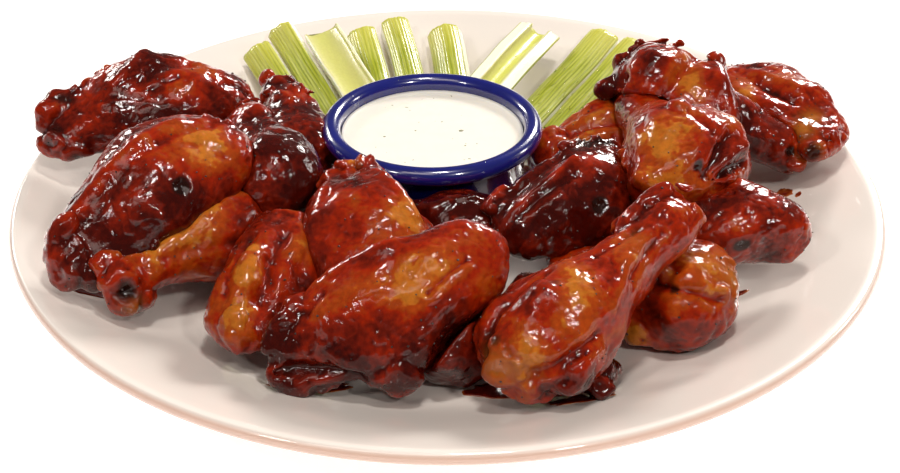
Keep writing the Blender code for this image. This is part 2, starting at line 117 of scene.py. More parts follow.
# Ways of shaping a wing piece. Places on it are (share of its length from the bone end, degrees round it
# from its skin side):
#   lump   place, height, radius                 a soft swelling, or a hollow where the height is negative
#   fold   places, height, width                 a ridge, or a crease where the height is negative
#   knob   place, lift, (length, breadth, depth) a joint end or lobe of meat grown out of it
#   shred  places, lift, size                    torn skin along a line
#   thin, char, bone, thick   place, radius, strength   how it is cooked and sauced there
#
# name: bone end, meaty end, skin side, bow, sway, voxel, how thin the sauce is, how wrinkled, how pimpled,
# how charred, features
WINGS = {
    "flat_front": ((-54, -101, 15), (19, -75, 46), (-0.1, -0.75, 0.65), 2, -3, 0.55, 0.50, 0.6, 0.5, 0.25, (
        ("knob", (0.15, 96), 2.5, (12, 7, 6)),
        ("knob", (0.36, -84), 1.5, (9, 7, 6)),
        ("knob", (0.0, -30), 1.0, (5, 5, 4.5)),
        ("knob", (0.05, -95), 0.5, (7, 5, 5)),
        ("lump", (0.62, -88), -4.5, 11),
        ("lump", (0.26, -95), -3.0, 7),
        ("fold", ((0.0, 5), (0.08, -30), (0.18, -52), (0.26, -72)), -3.2, 2.6),
        ("fold", ((0.64, -12), (0.72, -3), (0.82, 0)), -1.5, 1.5),
        ("fold", ((0.64, -17), (0.72, -9), (0.82, -6)), 0.9, 1.6),
        ("fold", ((0.12, 75), (0.22, 60), (0.30, 62)), -1.3, 2.0),
        ("fold", ((0.18, 88), (0.40, 78), (0.62, 70)), 1.2, 3.0),
        ("lump", (0.42, 30), 1.4, 7), ("lump", (0.58, 35), -1.0, 5), ("lump", (0.70, 30), 1.4, 7),
        ("lump", (0.88, 15), -1.2, 8), ("lump", (0.50, -20), -0.8, 7),
        ("shred", ((0.02, -95), (0.10, -105), (0.18, -95)), 1.0, 1.6),
        ("thin", (0.42, 35), 10.3, 0.44), ("thin", (0.62, 25), 10.3, 0.53), ("thin", (0.61, -4), 5.8, 0.44),
        ("thin", (0.86, 15), 11.5, 0.44), ("thin", (0.26, 40), 5.8, 0.31),
        ("thick", (0.12, 50), 11, 0.8), ("thick", (0.30, -60), 14, 0.7), ("thick", (0.6, -55), 14, 0.6),
        ("thick", (0.04, -70), 12, 1.0), ("char", (0.06, -45), 3.9, 0.5), ("char", (0.14, 80), 5.5, 0.45),
    )),
    "drumette_front_right": ((77, -61, 50), (12, -109, 19), (-0.2, -0.6, 0.75), 2, 2, 0.55, 0.60, 0.8, 0.6,
                             0.3, (
        ("knob", (0.10, -80), 3.5, (9, 5, 4)),
        ("knob", (0.21, -82), 2.5, (8, 4, 4)),
        ("knob", (0.02, 60), 0.5, (4, 4, 4)),
        ("knob", (0.985, 18), 0.0, (7.5, 7.5, 6.5)),
        ("knob", (0.78, 74), 1.0, (9, 6, 5.5)),
        ("knob", (0.93, 84), 1.0, (7, 6, 5)),
        ("shred", ((0.0, -40), (0.05, -75), (0.12, -92), (0.22, -96), (0.28, -92)), 4.5, 2.0),
        ("shred", ((0.0, 20), (0.02, 60), (0.04, 95)), 1.0, 1.6),
        ("shred", ((0.95, -25), (0.935, 5), (0.93, 30), (0.95, 55)), 1.0, 1.5),
        ("shred", ((0.86, 95), (0.95, 90), (1.0, 70)), 2.0, 2.0),
        ("lump", (0.71, -18), 2.6, 6), ("lump", (0.62, -20), -1.3, 4), ("lump", (0.80, 15), -1.5, 5),
        ("lump", (0.86, 30), 1.4, 5), ("lump", (0.60, 15), 1.0, 6), ("lump", (0.52, -10), -0.8, 5),
        ("fold", ((0.62, -52), (0.78, -45), (0.92, -38)), -2.2, 2.4),
        ("fold", ((0.66, 55), (0.78, 52), (0.90, 50)), -2.0, 2.2),
        ("fold", ((0.26, 0), (0.40, 15), (0.55, 45)), 1.3, 2.4),
        ("fold", ((0.26, -30), (0.36, -25), (0.44, -30)), -1.2, 1.8),
        ("fold", ((0.20, 15), (0.32, 25), (0.42, 35)), -0.9, 1.4),
        ("thin", (0.60, 12), 9.2, 0.44), ("thin", (0.60, -25), 6.9, 0.31), ("thin", (0.36, -10), 6.9, 0.35),
        ("thin", (0.88, 18), 8, 0.44), ("thin", (0.74, 18), 5.8, 0.31), ("thin", (0.9, 45), 5.8, 0.35),
        ("bone", (0.985, 18), 6.0, 0.7), ("bone", (0.93, 40), 4.0, 0.6), ("bone", (0.30, -12), 4, 0.35),
        ("thick", (0.70, -18), 6, 0.9), ("thick", (0.10, -60), 10, 0.7), ("thick", (0.80, 80), 9, 0.9),
        ("thick", (0.85, -60), 10, 0.7), ("char", (0.66, -14), 3.1, 0.6), ("char", (0.9, 80), 4.7, 0.6),
    )),
    "flat_left": ((-124, -65, 29), (-69, -14, 50), (-0.1, -0.70, 0.70), 3, 2, 0.55, 0.47, 0.45, 0.35, 0.2, (
        ("knob", (0.04, 62), 0.5, (9, 7, 5)),
        ("knob", (0.03, -25), 1.0, (9, 8, 5)),
        ("knob", (0.12, -88), 1.0, (9, 6, 5)),
        ("shred", ((0.12, -84), (0.20, -90), (0.28, -84), (0.34, -78)), 1.8, 2.0),
        ("shred", ((0.88, 62), (0.94, 45), (0.98, 20)), 0.8, 1.5),
        ("fold", ((0.05, 42), (0.25, 44), (0.5, 44), (0.75, 48)), 1.6, 3.2),
        ("fold", ((0.62, 30), (0.75, 30), (0.88, 28)), -1.0, 2.0),
        ("fold", ((0.7, 12), (0.78, -10), (0.80, -35)), -0.7, 2.0),
        ("lump", (0.56, -38), -1.8, 3.0), ("lump", (0.40, -20), 1.2, 9), ("lump", (0.42, -62), 1.4, 8),
        ("lump", (0.22, -55), -1.4, 6), ("lump", (0.76, -5), -0.8, 6), ("lump", (0.9, -40), 1.0, 7),
        ("lump", (0.30, 20), -0.9, 6),
        ("thin", (0.76, -8), 9.2, 0.66), ("thin", (0.72, -30), 6.9, 0.31), ("thin", (0.84, 15), 6.9, 0.35),
        ("thin", (0.62, 15), 5.8, 0.26), ("char", (0.56, -38), 3.2, 1.7), ("thick", (0.10, -40), 14, 1.0),
        ("thick", (0.30, -70), 12, 0.8), ("thick", (0.5, -75), 12, 0.7), ("char", (0.05, -60), 3.9, 0.4),
    )),
    "flat_back_left": ((-144, 14, 36), (-70, 37, 36), (-0.05, -0.55, 0.80), 3, 3, 0.55, 0.40, 0.7, 0.5, 0.35, (
        ("knob", (0.03, 74), 3.0, (8, 6, 5)),
        ("knob", (0.0, -55), 1.0, (7, 6, 5)),
        ("knob", (0.12, -95), 0.0, (7, 5, 4)),
        ("lump", (0.0, 5), -2.5, 4.5),
        ("shred", ((0.10, 75), (0.20, 72), (0.32, 70)), 0.8, 1.7),
        ("fold", ((0.34, 28), (0.42, 45), (0.50, 72)), 1.6, 2.4),
        ("fold", ((0.46, 22), (0.58, 42), (0.70, 52)), -1.8, 3.6),
        ("fold", ((0.50, -2), (0.55, 8), (0.62, 12)), -0.8, 2.0),
        ("fold", ((0.84, 12), (0.94, 10), (1.0, 8)), -0.8, 1.6),
        ("lump", (0.28, -15), 1.2, 7), ("lump", (0.70, -20), 1.0, 8), ("lump", (0.22, -60), -1.0, 5),
        ("lump", (0.12, 20), -1.2, 5), ("lump", (0.40, -5), -0.6, 5),
        ("thin", (0.76, 46), 9.2, 0.57), ("thin", (0.60, 6), 5.8, 0.4), ("thin", (0.62, -12), 4.6, 0.31),
        ("thin", (0.32, -70), 4.6, 0.35), ("thin", (0.3, 60), 6.9, 0.26), ("thick", (0.55, 40), 8, 0.7),
        ("thick", (0.6, -70), 18, 0.8), ("char", (0.10, 55), 4.7, 0.8), ("char", (0.03, -20), 4.7, 0.7),
        ("char", (0.30, 55), 3.1, 0.5), ("char", (1.0, 10), 4.7, 0.5),
    )),
    "flat_centre": ((-32, -20, 40), (-20, -78, 26), (0.0, -0.30, 0.95), 3, 0, 0.55, 0.52, 0.3, 0.2, 0.1, (
        ("shred", ((0.12, -78), (0.06, -50), (0.02, -15), (0.04, 20), (0.10, 42)), 1.3, 2.0),
        ("knob", (0.0, -50), 0.5, (5, 5, 4)),
        ("knob", (0.04, 45), 0.0, (4, 4, 3.5)),
        ("lump", (0.10, 0), -2.2, 4.5), ("lump", (0.30, 74), -4.5, 10), ("lump", (0.52, 78), -3.5, 9),
        ("lump", (0.12, 76), -4.0, 8), ("lump", (0.45, -15), 1.0, 9), ("lump", (0.62, 20), 0.9, 6),
        ("fold", ((0.22, 42), (0.42, 52), (0.62, 60)), 1.6, 2.8),
        ("fold", ((0.16, -62), (0.30, -60), (0.5, -66)), 0.8, 2.6),
        ("thin", (0.62, 58), 8, 0.53), ("thin", (0.72, 30), 9.2, 0.4), ("thin", (0.5, -25), 9.2, 0.22),
        ("thin", (0.04, 0), 4.6, 0.44), ("char", (0.10, 12), 2.3, 0.7), ("thick", (0.25, -10), 8, 0.4),
    )),
    "flat_front_left": ((-65, -91, 17), (-49, -39, 30), (-0.25, -0.45, 0.85), 2, 0, 0.6, 0.45, 0.9, 0.6, 0.5, (
        ("knob", (0.02, -8), 0.5, (6.5, 6.5, 5.5)),
        ("fold", ((0.10, -4), (0.32, -2), (0.48, 6)), 1.9, 3.4),
        ("fold", ((0.66, -22), (0.42, -24), (0.20, -34)), -1.9, 2.6),
        ("fold", ((0.60, 26), (0.40, 24), (0.20, 26)), -1.3, 2.4),
        ("fold", ((0.70, -50), (0.50, -48), (0.34, -52)), 1.2, 3.0),
        ("fold", ((0.62, 60), (0.42, 58), (0.22, 62)), -0.9, 2.0),
        ("shred", ((0.86, 60), (0.90, 20), (0.90, -20)), 0.6, 1.5),
        ("lump", (0.62, 14), 1.0, 5), ("lump", (0.80, 0), -1.2, 6),
        ("thin", (0.16, -6), 6.9, 0.66), ("thin", (0.34, -2), 4.6, 0.53), ("thin", (0.48, 8), 4.6, 0.53),
        ("thin", (0.60, -48), 8, 0.44), ("thin", (0.02, -8), 5.8, 0.35), ("bone", (0.03, -4), 4, 0.35),
        ("char", (0.30, 55), 6.2, 0.6), ("char", (0.40, -62), 4.7, 0.4), ("char", (0.60, 55), 5.5, 0.4),
    )),
    "drumette_upper_right": ((68, 38, 38), (84, -42, 44), (-0.2, -0.5, 0.85), 0, 0, 0.55, 0.57, 0.8, 0.6,
                             0.4, (
        ("knob", (0.63, 22), 0.5, (6, 5, 4)),
        ("knob", (0.90, -62), 0.5, (6, 6, 5)),
        ("lump", (0.80, 10), -1.3, 7), ("lump", (0.88, -20), -1.2, 6), ("lump", (0.96, 14), -1.6, 3),
        ("fold", ((0.84, 62), (0.92, 52), (0.98, 40)), -2.4, 2.0),
        ("fold", ((0.88, 96), (0.94, 82), (1.0, 70)), -2.2, 1.8),
        ("fold", ((0.86, 78), (0.93, 66), (0.99, 55)), 1.2, 2.0),
        ("fold", ((0.58, 55), (0.70, 66), (0.86, 80)), 1.7, 3.0),
        ("fold", ((0.70, 25), (0.80, 35), (0.86, 40)), -1.2, 2.2),
        ("fold", ((0.62, -20), (0.78, -28), (0.9, -40)), -0.9, 2.6),
        ("shred", ((0.5, -70), (0.66, -66), (0.80, -66)), 0.5, 1.8),
        ("shred", ((0.93, 105), (0.99, 85), (1.0, 60)), 0.8, 1.5),
        ("thin", (0.86, -25), 10.3, 0.66), ("thin", (0.75, -5), 9.2, 0.4), ("thin", (0.72, 62), 6.9, 0.44),
        ("thin", (0.95, -50), 6.9, 0.53), ("thick", (0.63, 22), 5, 1.2), ("thick", (0.92, 70), 9, 0.7),
        ("char", (0.95, 14), 2, 1.15), ("char", (0.70, -50), 4.7, 0.5), ("char", (0.98, 60), 4.7, 0.5),
    )),
    "drumette_back_right": ((131, 16, 25), (61, 44, 43), (-0.1, -0.5, 0.85), 2, 0, 0.55, 0.42, 0.5, 0.5, 0.3, (
        ("shred", ((0.97, -70), (0.90, -74), (0.82, -72), (0.72, -68)), 2.4, 2.4),
        ("knob", (0.98, 58), 2.0, (4.5, 5, 8)),
        ("knob", (0.88, 66), 1.0, (6, 7, 5)),
        ("knob", (0.99, -52), 2.5, (4, 3, 3)),
        ("knob", (0.57, -72), 2.5, (4, 4, 5)),
        ("knob", (0.02, 0), 0.5, (4, 4, 4)), ("knob", (0.03, 75), 0.5, (4, 4, 4)),
        ("lump", (0.82, -12), 2.2, 7), ("lump", (0.93, 25), -2.2, 4),
        ("fold", ((0.93, 20), (0.92, 50), (0.93, 80)), -2.5, 1.8),
        ("fold", ((0.66, -52), (0.68, -10), (0.70, 32)), -2.6, 3.2),
        ("fold", ((0.58, -66), (0.50, -22), (0.40, 22)), 3.4, 3.2),
        ("fold", ((0.34, -30), (0.28, 0), (0.20, 20)), 1.0, 2.6),
        ("lump", (0.06, 34), -2.6, 3.4), ("lump", (0.30, 30), 1.2, 6),
        ("shred", ((0.0, 60), (0.0, 0), (0.02, -50)), 0.6, 1.4),
        ("thin", (0.66, -10), 6.9, 0.79), ("thin", (0.58, 10), 6.9, 0.62), ("thin", (0.68, -50), 5.8, 0.44),
        ("thin", (0.84, 66), 5.8, 0.44), ("bone", (0.0, 20), 3.5, 0.7), ("char", (0.08, 34), 2.7, 1.15),
        ("thick", (0.82, -10), 8, 0.8), ("thick", (0.98, 55), 6, 0.9), ("char", (0.74, 20), 2.7, 0.5),
        ("thick", (0.3, 30), 10, 0.5),
    )),
    "flat_back_right": ((141, 14, 30), (98, 68, 27), (0.1, -0.45, 0.90), 2, -3, 0.6, 0.55, 0.9, 0.6, 0.5, (
        ("fold", ((0.56, 8), (0.44, 16), (0.30, 8)), -2.6, 2.6),
        ("fold", ((0.64, -16), (0.48, -16), (0.34, -20)), 1.3, 3.0),
        ("fold", ((0.62, 36), (0.46, 42), (0.34, 40)), 0.9, 2.2),
        ("shred", ((0.08, -30), (0.04, 10), (0.0, 50), (0.04, 95)), 1.4, 2.0),
        ("shred", ((0.12, 30), (0.10, 60)), 1.2, 1.8),
        ("knob", (0.02, 70), 2.0, (4, 3.5, 3)),
        ("lump", (0.2, 0), -1.4, 4), ("lump", (0.3, -60), 1.0, 7),
        ("bone", (0.17, 4), 3.4, 0.9), ("bone", (0.14, 48), 4.0, 0.9), ("thin", (0.58, 40), 8, 0.53),
        ("thick", (0.44, 14), 5, 1.2), ("char", (0.40, 10), 3.1, 0.6), ("char", (0.02, 70), 3.9, 0.9),
        ("char", (0.4, -60), 6.2, 0.3), ("thin", (0.4, -30), 6.9, 0.26),
    )),
    "flat_right": ((58, -38, 21), (123, -53, 28), (0.05, -0.55, 0.85), 2, 4, 0.55, 0.48, 0.2, 1.0, 0.35, (
        ("lump", (0.82, -78), -8.0, 13), ("lump", (0.97, -50), -5.0, 10), ("lump", (0.60, -88), -4.5, 11),
        ("lump", (0.92, -125), -3.5, 13),
        ("lump", (0.58, 78), 2.6, 4.5), ("lump", (0.70, 10), 0.8, 9), ("lump", (0.62, -52), -0.8, 3),
        ("shred", ((0.90, 50), (0.98, 20), (1.0, -20)), 0.2, 1.2),
        ("char", (0.62, -52), 3.4, 1.6), ("char", (0.99, 0), 4.7, 0.55), ("char", (0.9, 40), 3.1, 0.5),
        ("thick", (0.4, 0), 8, 0.5),
    )),
    "flat_centre_right": ((18, -45, 27), (66, -10, 32), (-0.2, -0.70, 0.65), 3, 0, 0.55, 0.16, 0.5, 0.2, 0.4, (
        ("knob", (0.10, 84), 1.5, (6, 5, 5)),
        ("fold", ((0.0, 44), (0.2, 38), (0.4, 38), (0.56, 44)), 1.7, 2.0),
        ("fold", ((0.06, 62), (0.3, 60), (0.52, 62)), -1.6, 2.4),
        ("fold", ((0.1, 25), (0.3, 24), (0.48, 22)), -0.8, 1.8),
        ("fold", ((0.02, 12), (0.2, 8), (0.34, 4)), 0.7, 2.2),
        ("shred", ((0.58, 74), (0.70, 76), (0.80, 72), (0.92, 60)), 1.0, 2.0),
        ("lump", (0.50, -34), -1.4, 2.6), ("lump", (0.22, -30), 1.2, 7), ("lump", (0.55, 5), -1.0, 6),
        ("lump", (0.7, 0), 1.4, 6), ("lump", (0.38, -50), -1.0, 6),
        ("char", (0.50, -34), 3.0, 1.6), ("char", (0.72, 66), 4.7, 0.9), ("char", (0.86, 60), 4.7, 0.8),
        ("char", (0.58, -5), 3.9, 0.5), ("thin", (0.60, 34), 6.9, 0.53), ("thin", (0.10, 80), 6.9, 0.44),
        ("thin", (0.45, 48), 4.6, 0.26),
    )),
    "drumette_right": ((34, -38, 18), (91, -78, 22), (-0.1, -0.6, 0.80), 0, 0, 0.6, 0.60, 0.7, 0.6, 0.4, (
        ("knob", (0.62, 5), 2.5, (7, 6, 5)),
        ("knob", (0.60, -78), 2.5, (8, 6, 5)),
        ("knob", (0.98, 0), 0.0, (4, 4, 4)),
        ("fold", ((0.68, -16), (0.78, -17), (0.90, -12), (0.98, -10)), -2.6, 2.2),
        ("fold", ((0.70, 20), (0.76, 0), (0.74, -10)), -1.2, 2.0),
        ("lump", (0.80, -44), 2.4, 7), ("lump", (0.84, 25), 1.4, 7), ("lump", (0.93, 10), -1.0, 4),
        ("shred", ((0.90, 80), (0.97, 60), (1.0, 30)), 0.5, 1.5),
        ("shred", ((0.8, -100), (0.9, -95), (0.98, -80)), 0.6, 1.6),
        ("thin", (0.84, 25), 9.2, 0.53), ("bone", (0.95, 66), 6, 0.85), ("bone", (0.84, 40), 5, 0.45),
        ("char", (0.79, -17), 2.5, 1.15), ("thin", (0.62, -80), 6.9, 0.44), ("thick", (0.64, 10), 6, 0.7),
        ("char", (0.9, 55), 2.3, 0.5),
    )),
    "drumette_front_left": ((-107, -73, 26), (-67, -23, 25), (-0.3, -0.5, 0.80), 2, 0, 0.55, 0.62, 0.6, 0.5,
                            0.3, (
        ("knob", (0.03, -95), 3.5, (6, 6, 6)),
        ("knob", (0.02, -35), 1.0, (5.5, 5, 5)),
        ("knob", (0.05, 40), 1.8, (5, 4, 4)),
        ("knob", (0.08, -125), 2.0, (7, 5, 5)),
        ("lump", (0.0, -65), -4.5, 3.8),
        ("shred", ((0.02, 50), (0.0, 0), (0.0, -40)), 1.6, 2.2),
        ("shred", ((0.02, -80), (0.04, -110), (0.08, -135)), 2.4, 2.2),
        ("fold", ((0.16, 30), (0.16, -20), (0.14, -60)), -0.9, 2.4),
        ("fold", ((0.30, -50), (0.45, -60), (0.62, -70)), -0.9, 2.6),
        ("thin", (0.22, -30), 8, 0.35), ("thin", (0.42, -20), 10.3, 0.48), ("thin", (0.62, -5), 11.5, 0.4),
        ("bone", (0.0, -100), 4, 0.5), ("char", (0.0, -62), 4.2, 1.0), ("char", (0.45, 0), 2.3, 0.4),
        ("thick", (0.30, 60), 8, 0.6), ("thick", (0.1, -120), 8, 0.6),
        ("thick", (0.02, -60), 10, 0.8), ("char", (0.05, -110), 3, 0.6),
    )),
    "drumette_beside_cup": ((-74, 26, 38), (-53, -36, 31), (-0.2, -0.45, 0.85), 2, 0, 0.6, 0.14, 0.5, 0.3,
                            0.2, (
        ("shred", ((0.0, -50), (0.05, 0), (0.08, 50)), 0.6, 1.8),
        ("fold", ((0.20, 40), (0.40, 50), (0.60, 62)), 1.2, 2.6),
        ("fold", ((0.30, 10), (0.50, 20), (0.62, 34)), -1.0, 2.4),
        ("lump", (0.36, -14), 1.4, 5), ("lump", (0.75, 10), 1.0, 9), ("lump", (0.56, -20), -0.9, 6),
        ("thin", (0.16, -20), 8, 0.48), ("char", (0.45, 15), 3.9, 0.4),
    )),
    "drumette_by_celery": ((-66, 56, 34), (-50, -6, 26), (-0.2, -0.5, 0.85), 0, 0, 0.6, 0.28, 0.8, 0.5, 0.25, (
        ("knob", (0.0, -10), 3.5, (4, 3.2, 5)),
        ("lump", (0.12, 20), 1.8, 3.6), ("lump", (0.20, -30), 1.6, 3.4),
        ("lump", (0.28, 40), 1.8, 3.6), ("lump", (0.36, 0), 1.4, 4),
        ("shred", ((0.08, 50), (0.22, 58), (0.36, 60)), 1.6, 1.8),
        ("shred", ((0.20, -10), (0.30, 10), (0.42, 30)), 0.6, 1.6),
        ("fold", ((0.40, 70), (0.55, 72), (0.70, 75)), 1.4, 2.4),
        ("thin", (0.0, -10), 6.9, 0.44), ("thin", (0.35, 35), 9.2, 0.26), ("char", (0.22, -20), 4.7, 0.5),
    )),
    "flat_beside_cup": ((36, 22, 22), (92, 34, 26), (-0.1, -0.4, 0.90), 2, 0, 0.6, 0.62, 0.7, 0.5, 0.3, (
        ("knob", (-0.1, -90), 2.5, (7, 8, 8)), ("knob", (-0.1, 180), 3.0, (10, 10, 9)),
        ("fold", ((0.10, 10), (0.26, 4), (0.44, 0)), -1.4, 2.2),
        ("fold", ((0.10, -10), (0.28, -14), (0.44, -18)), 1.1, 2.4),
        ("fold", ((0.16, 40), (0.30, 34), (0.46, 36)), 0.8, 2.0),
        ("shred", ((0.30, 70), (0.40, 62), (0.50, 55)), 1.0, 1.6),
        ("thin", (0.3, 20), 10.3, 0.44), ("char", (0.14, -20), 3.9, 0.4),
    )),
    "flat_under_back": ((54, 50, 21), (118, 62, 26), (0.0, -0.3, 0.95), 0, 0, 0.7, 0.70, 0.6, 0.6, 0.2, (
        ("shred", ((0.02, 60), (0.0, 0), (0.06, -60)), 0.8, 1.6),
        ("thin", (0.1, 0), 11.5, 0.44),
    )),
    "drumette_under_left": ((-125, 2, 26), (-62, 4, 25), (0.0, -0.4, 0.90), 0, 0, 0.7, 0.34, 0.6, 1.2, 0.3, (
        ("knob", (0.30, -20), 1.0, (5, 5, 5)), ("shred", ((0.0, -40), (0.1, -60), (0.2, -60)), 0.6, 1.6),
        ("thin", (0.1, -30), 9.2, 0.26),
    )),
    "drumette_before_cup": ((-40, -26, 21), (24, -32, 21), (0.0, -0.4, 0.9), 0, 0, 0.7, 0.22, 0.6, 0.5, 0.4, (
        ("shred", ((0.55, 30), (0.70, 24), (0.86, 20)), 1.0, 1.8),
        ("knob", (0.55, 10), 1.0, (7, 5, 4)),
    )),
    "drumette_under_front": ((8, -34, 17), (-2, -106, 20), (0.0, -0.4, 0.9), 0, 0, 0.7, 0.15, 0.6, 0.5, 0.4, (
        ("lump", (0.9, 0), 1.0, 6),
    )),
    "flat_under_right": ((46, -106, 14), (26, -50, 16), (0.3, -0.4, 0.85), 0, 0, 0.6, 0.10, 0.8, 0.5, 0.6, (
        ("knob", (0.0, 0), 1.0, (6, 5, 4)), ("knob", (0.06, -60), 2.0, (6, 5, 4)),
        ("knob", (0.10, -110), 2.0, (7, 5, 4)), ("knob", (0.20, 60), 1.0, (5, 5, 6)),
        ("shred", ((0.0, 60), (0.0, 0), (0.03, -60), (0.1, -110)), 1.4, 2.0),
    )),
}

# Pools and smears of sauce on the china, the last two dark ones beside the cup standing in as painted shade:
# middle, half length, half width, turn, depth, seed
SMEARS_AND_SHADE_POOLS = (
    ((-118, -57), 10, 4.6, 12, 1.0, 1),
    ((-42, -98.5), 13, 4.2, 14, 0.8, 2),
    ((18, -99.5), 13, 4.2, -4, 1.0, 5),
    ((40, -107.5), 11, 4.0, 10, 1.0, 6),
    ((123, 11), 2.2, 3.0, 35, 0.3, 7),
    ((127, 7), 1.6, 1.0, 60, 0.3, 8),
    ((96, -47), 6.0, 2.0, 12, 0.5, 9),
    # Painted shade: two deep, near-black pools in the pocket between the cup and the wings on its right.
    ((40, 2), 15, 18, 0, 1.0, 10),
    ((34, 34), 9, 12, 0, 1.0, 11),
)

# ---------------------------------------------------------------- settings that a user would change


class PlatterChina(bpy.types.PropertyGroup):
    glaze: bpy.props.FloatVectorProperty(
        name="Glaze", description="Colour of the plate's glaze", subtype="COLOR", size=3,
        default=(0.950, 0.918, 0.888))
    lip: bpy.props.FloatVectorProperty(
        name="Lip", description="Colour of the body where the glaze thins at the lip", subtype="COLOR", size=3,
        default=(0.88, 0.74, 0.67))
    cobalt: bpy.props.FloatVectorProperty(
        name="Cobalt", description="Colour of the cup's glaze", subtype="COLOR", size=3,
        default=(0.055, 0.09, 0.43))


class PlatterDip(bpy.types.PropertyGroup):
    cream: bpy.props.FloatVectorProperty(
        name="Cream", description="Colour of the dip", subtype="COLOR", size=3, default=(0.97, 0.953, 0.905))
    flecks: bpy.props.IntProperty(
        name="Herb flecks", description="Number of herb flecks in the dip's surface", default=46, min=0)


class PlatterCelery(bpy.types.PropertyGroup):
    skin: bpy.props.FloatVectorProperty(
        name="Skin", description="Colour of the ribbed outside", subtype="COLOR", size=3,
        default=(0.64, 0.67, 0.15))
    furrow: bpy.props.FloatVectorProperty(
        name="Furrow", description="Deeper green between the ribs", subtype="COLOR", size=3,
        default=(0.48, 0.54, 0.08))
    pith: bpy.props.FloatVectorProperty(
        name="Pith", description="Colour of the hollow and the cut sides", subtype="COLOR", size=3,
        default=(0.87, 0.86, 0.55))
    droplets: bpy.props.IntProperty(
        name="Droplets", description="Number of water droplets on the celery", default=150, min=0)


class PlatterSauce(bpy.types.PropertyGroup):
    thick: bpy.props.FloatVectorProperty(
        name="Thick sauce", description="Colour where the sauce is deepest", subtype="COLOR", size=3,
        default=(0.25, 0.034, 0.014))
    sauce: bpy.props.FloatVectorProperty(
        name="Sauce", description="Colour of an even coat of sauce", subtype="COLOR", size=3,
        default=(0.61, 0.135, 0.012))
    thin: bpy.props.FloatVectorProperty(
        name="Thin sauce", description="Colour where browned skin shows through", subtype="COLOR", size=3,
        default=(0.66, 0.26, 0.045))
    specks: bpy.props.IntProperty(
        name="Specks", description="Number of pepper specks on the wings", default=1000, min=0)


class PlatterStage(bpy.types.PropertyGroup):
    focal: bpy.props.FloatProperty(
        name="Focal length", description="Focal length of the camera", default=65.38, unit="CAMERA")
    floor: bpy.props.FloatVectorProperty(
        name="Floor", description="Colour of the floor", subtype="COLOR", size=3, default=(0.97, 0.965, 0.96))


GROUPS = {
    "platter_china": PlatterChina, "platter_dip": PlatterDip, "platter_celery": PlatterCelery,
    "platter_sauce": PlatterSauce, "platter_stage": PlatterStage,
}

# ---------------------------------------------------------------- materials


def srgb(colour, alpha=1.0):
    """A colour as the eye's sRGB values, from a setting or a hex code, turned to linear for a shader."""
    if isinstance(colour, str):
        colour = [int(colour[i:i + 2], 16) / 255 for i in (1, 3, 5)]
    return (*[c / 12.92 if c <= 0.04045 else ((c + 0.055) / 1.055) ** 2.4 for c in colour], alpha)


def per(spacing):
    """A texture's scale for a pattern that repeats about every so many millimetres."""
    return 1000.0 / spacing


def add_node(tree, kind, inputs=None, stops=None, **settings):
    """Adds a node with its settings. A socket given as an input is linked; other values are set."""
    node = tree.nodes.new(kind)
    for name, value in settings.items():
        setattr(node, name, value)
    for key, value in (inputs or {}).items():
        if isinstance(value, bpy.types.NodeSocket):
            tree.links.new(value, node.inputs[key])
        else:
            node.inputs[key].default_value = value
    for index, (place, colour) in enumerate(stops or ()):
        elements = node.color_ramp.elements
        if index == 0:
            elements.remove(elements[-1])
            elements[0].position = place
        stop = elements[0] if index == 0 else elements.new(place)
        stop.color = colour
    return node


def start_material(name, constants):
    """A new material: its node tree, its shader with the constants set, and the object coordinates."""
    material = bpy.data.materials.new(name)
    material.use_nodes = True
    tree = material.node_tree
    shader = tree.nodes["Principled BSDF"]
    for key, value in constants.items():
        shader.inputs[key].default_value = value
    place = add_node(tree, "ShaderNodeTexCoord").outputs["Object"]
    return material, tree, shader, place


def china_material(settings):
    """Vitrified china, dipped in clear glaze: a deep, even gloss over an off-white body, a little wavy like
    all poured glaze, with pin-sized specks, and warmer where the glaze drains off the lip."""
    material, tree, shader, place = start_material("glazed_china", {
        "Roughness": 0.34, "IOR": 1.5, "Coat Weight": 1.0, "Coat Roughness": 0.05, "Coat IOR": 1.5})
    cloud = add_node(tree, "ShaderNodeTexNoise", {"Vector": place, "Scale": per(38), "Detail": 3.0})
    body = add_node(tree, "ShaderNodeMix", {
        0: cloud.outputs["Fac"], 6: srgb([c * 0.985 for c in settings.glaze]), 7: srgb(settings.glaze)},
        data_type="RGBA")
    lip = add_node(tree, "ShaderNodeAttribute", attribute_name="lip")
    colour = add_node(tree, "ShaderNodeMix", {
        0: lip.outputs["Fac"], 6: body.outputs[2], 7: srgb(settings.lip)}, data_type="RGBA")
    tree.links.new(colour.outputs[2], shader.inputs["Base Color"])
    wave = add_node(tree, "ShaderNodeTexNoise", {"Vector": place, "Scale": per(16), "Detail": 2.0})
    pin = add_node(tree, "ShaderNodeTexVoronoi", {"Vector": place, "Scale": per(7.0)})
    dot = add_node(tree, "ShaderNodeMapRange", {
        "Value": pin.outputs["Distance"], "From Min": 0.0, "From Max": 0.055, "To Min": 1.0, "To Max": 0.0})
    soft = add_node(tree, "ShaderNodeBump", {"Height": wave.outputs["Fac"], "Strength": 0.12,
                                            "Distance": 0.0004})
    bump = add_node(tree, "ShaderNodeBump", {"Height": dot.outputs["Result"], "Strength": 0.5,
                                            "Distance": 0.0001, "Normal": soft.outputs["Normal"]})
    tree.links.new(bump.outputs["Normal"], shader.inputs["Normal"])
    tree.links.new(bump.outputs["Normal"], shader.inputs["Coat Normal"])
    return material


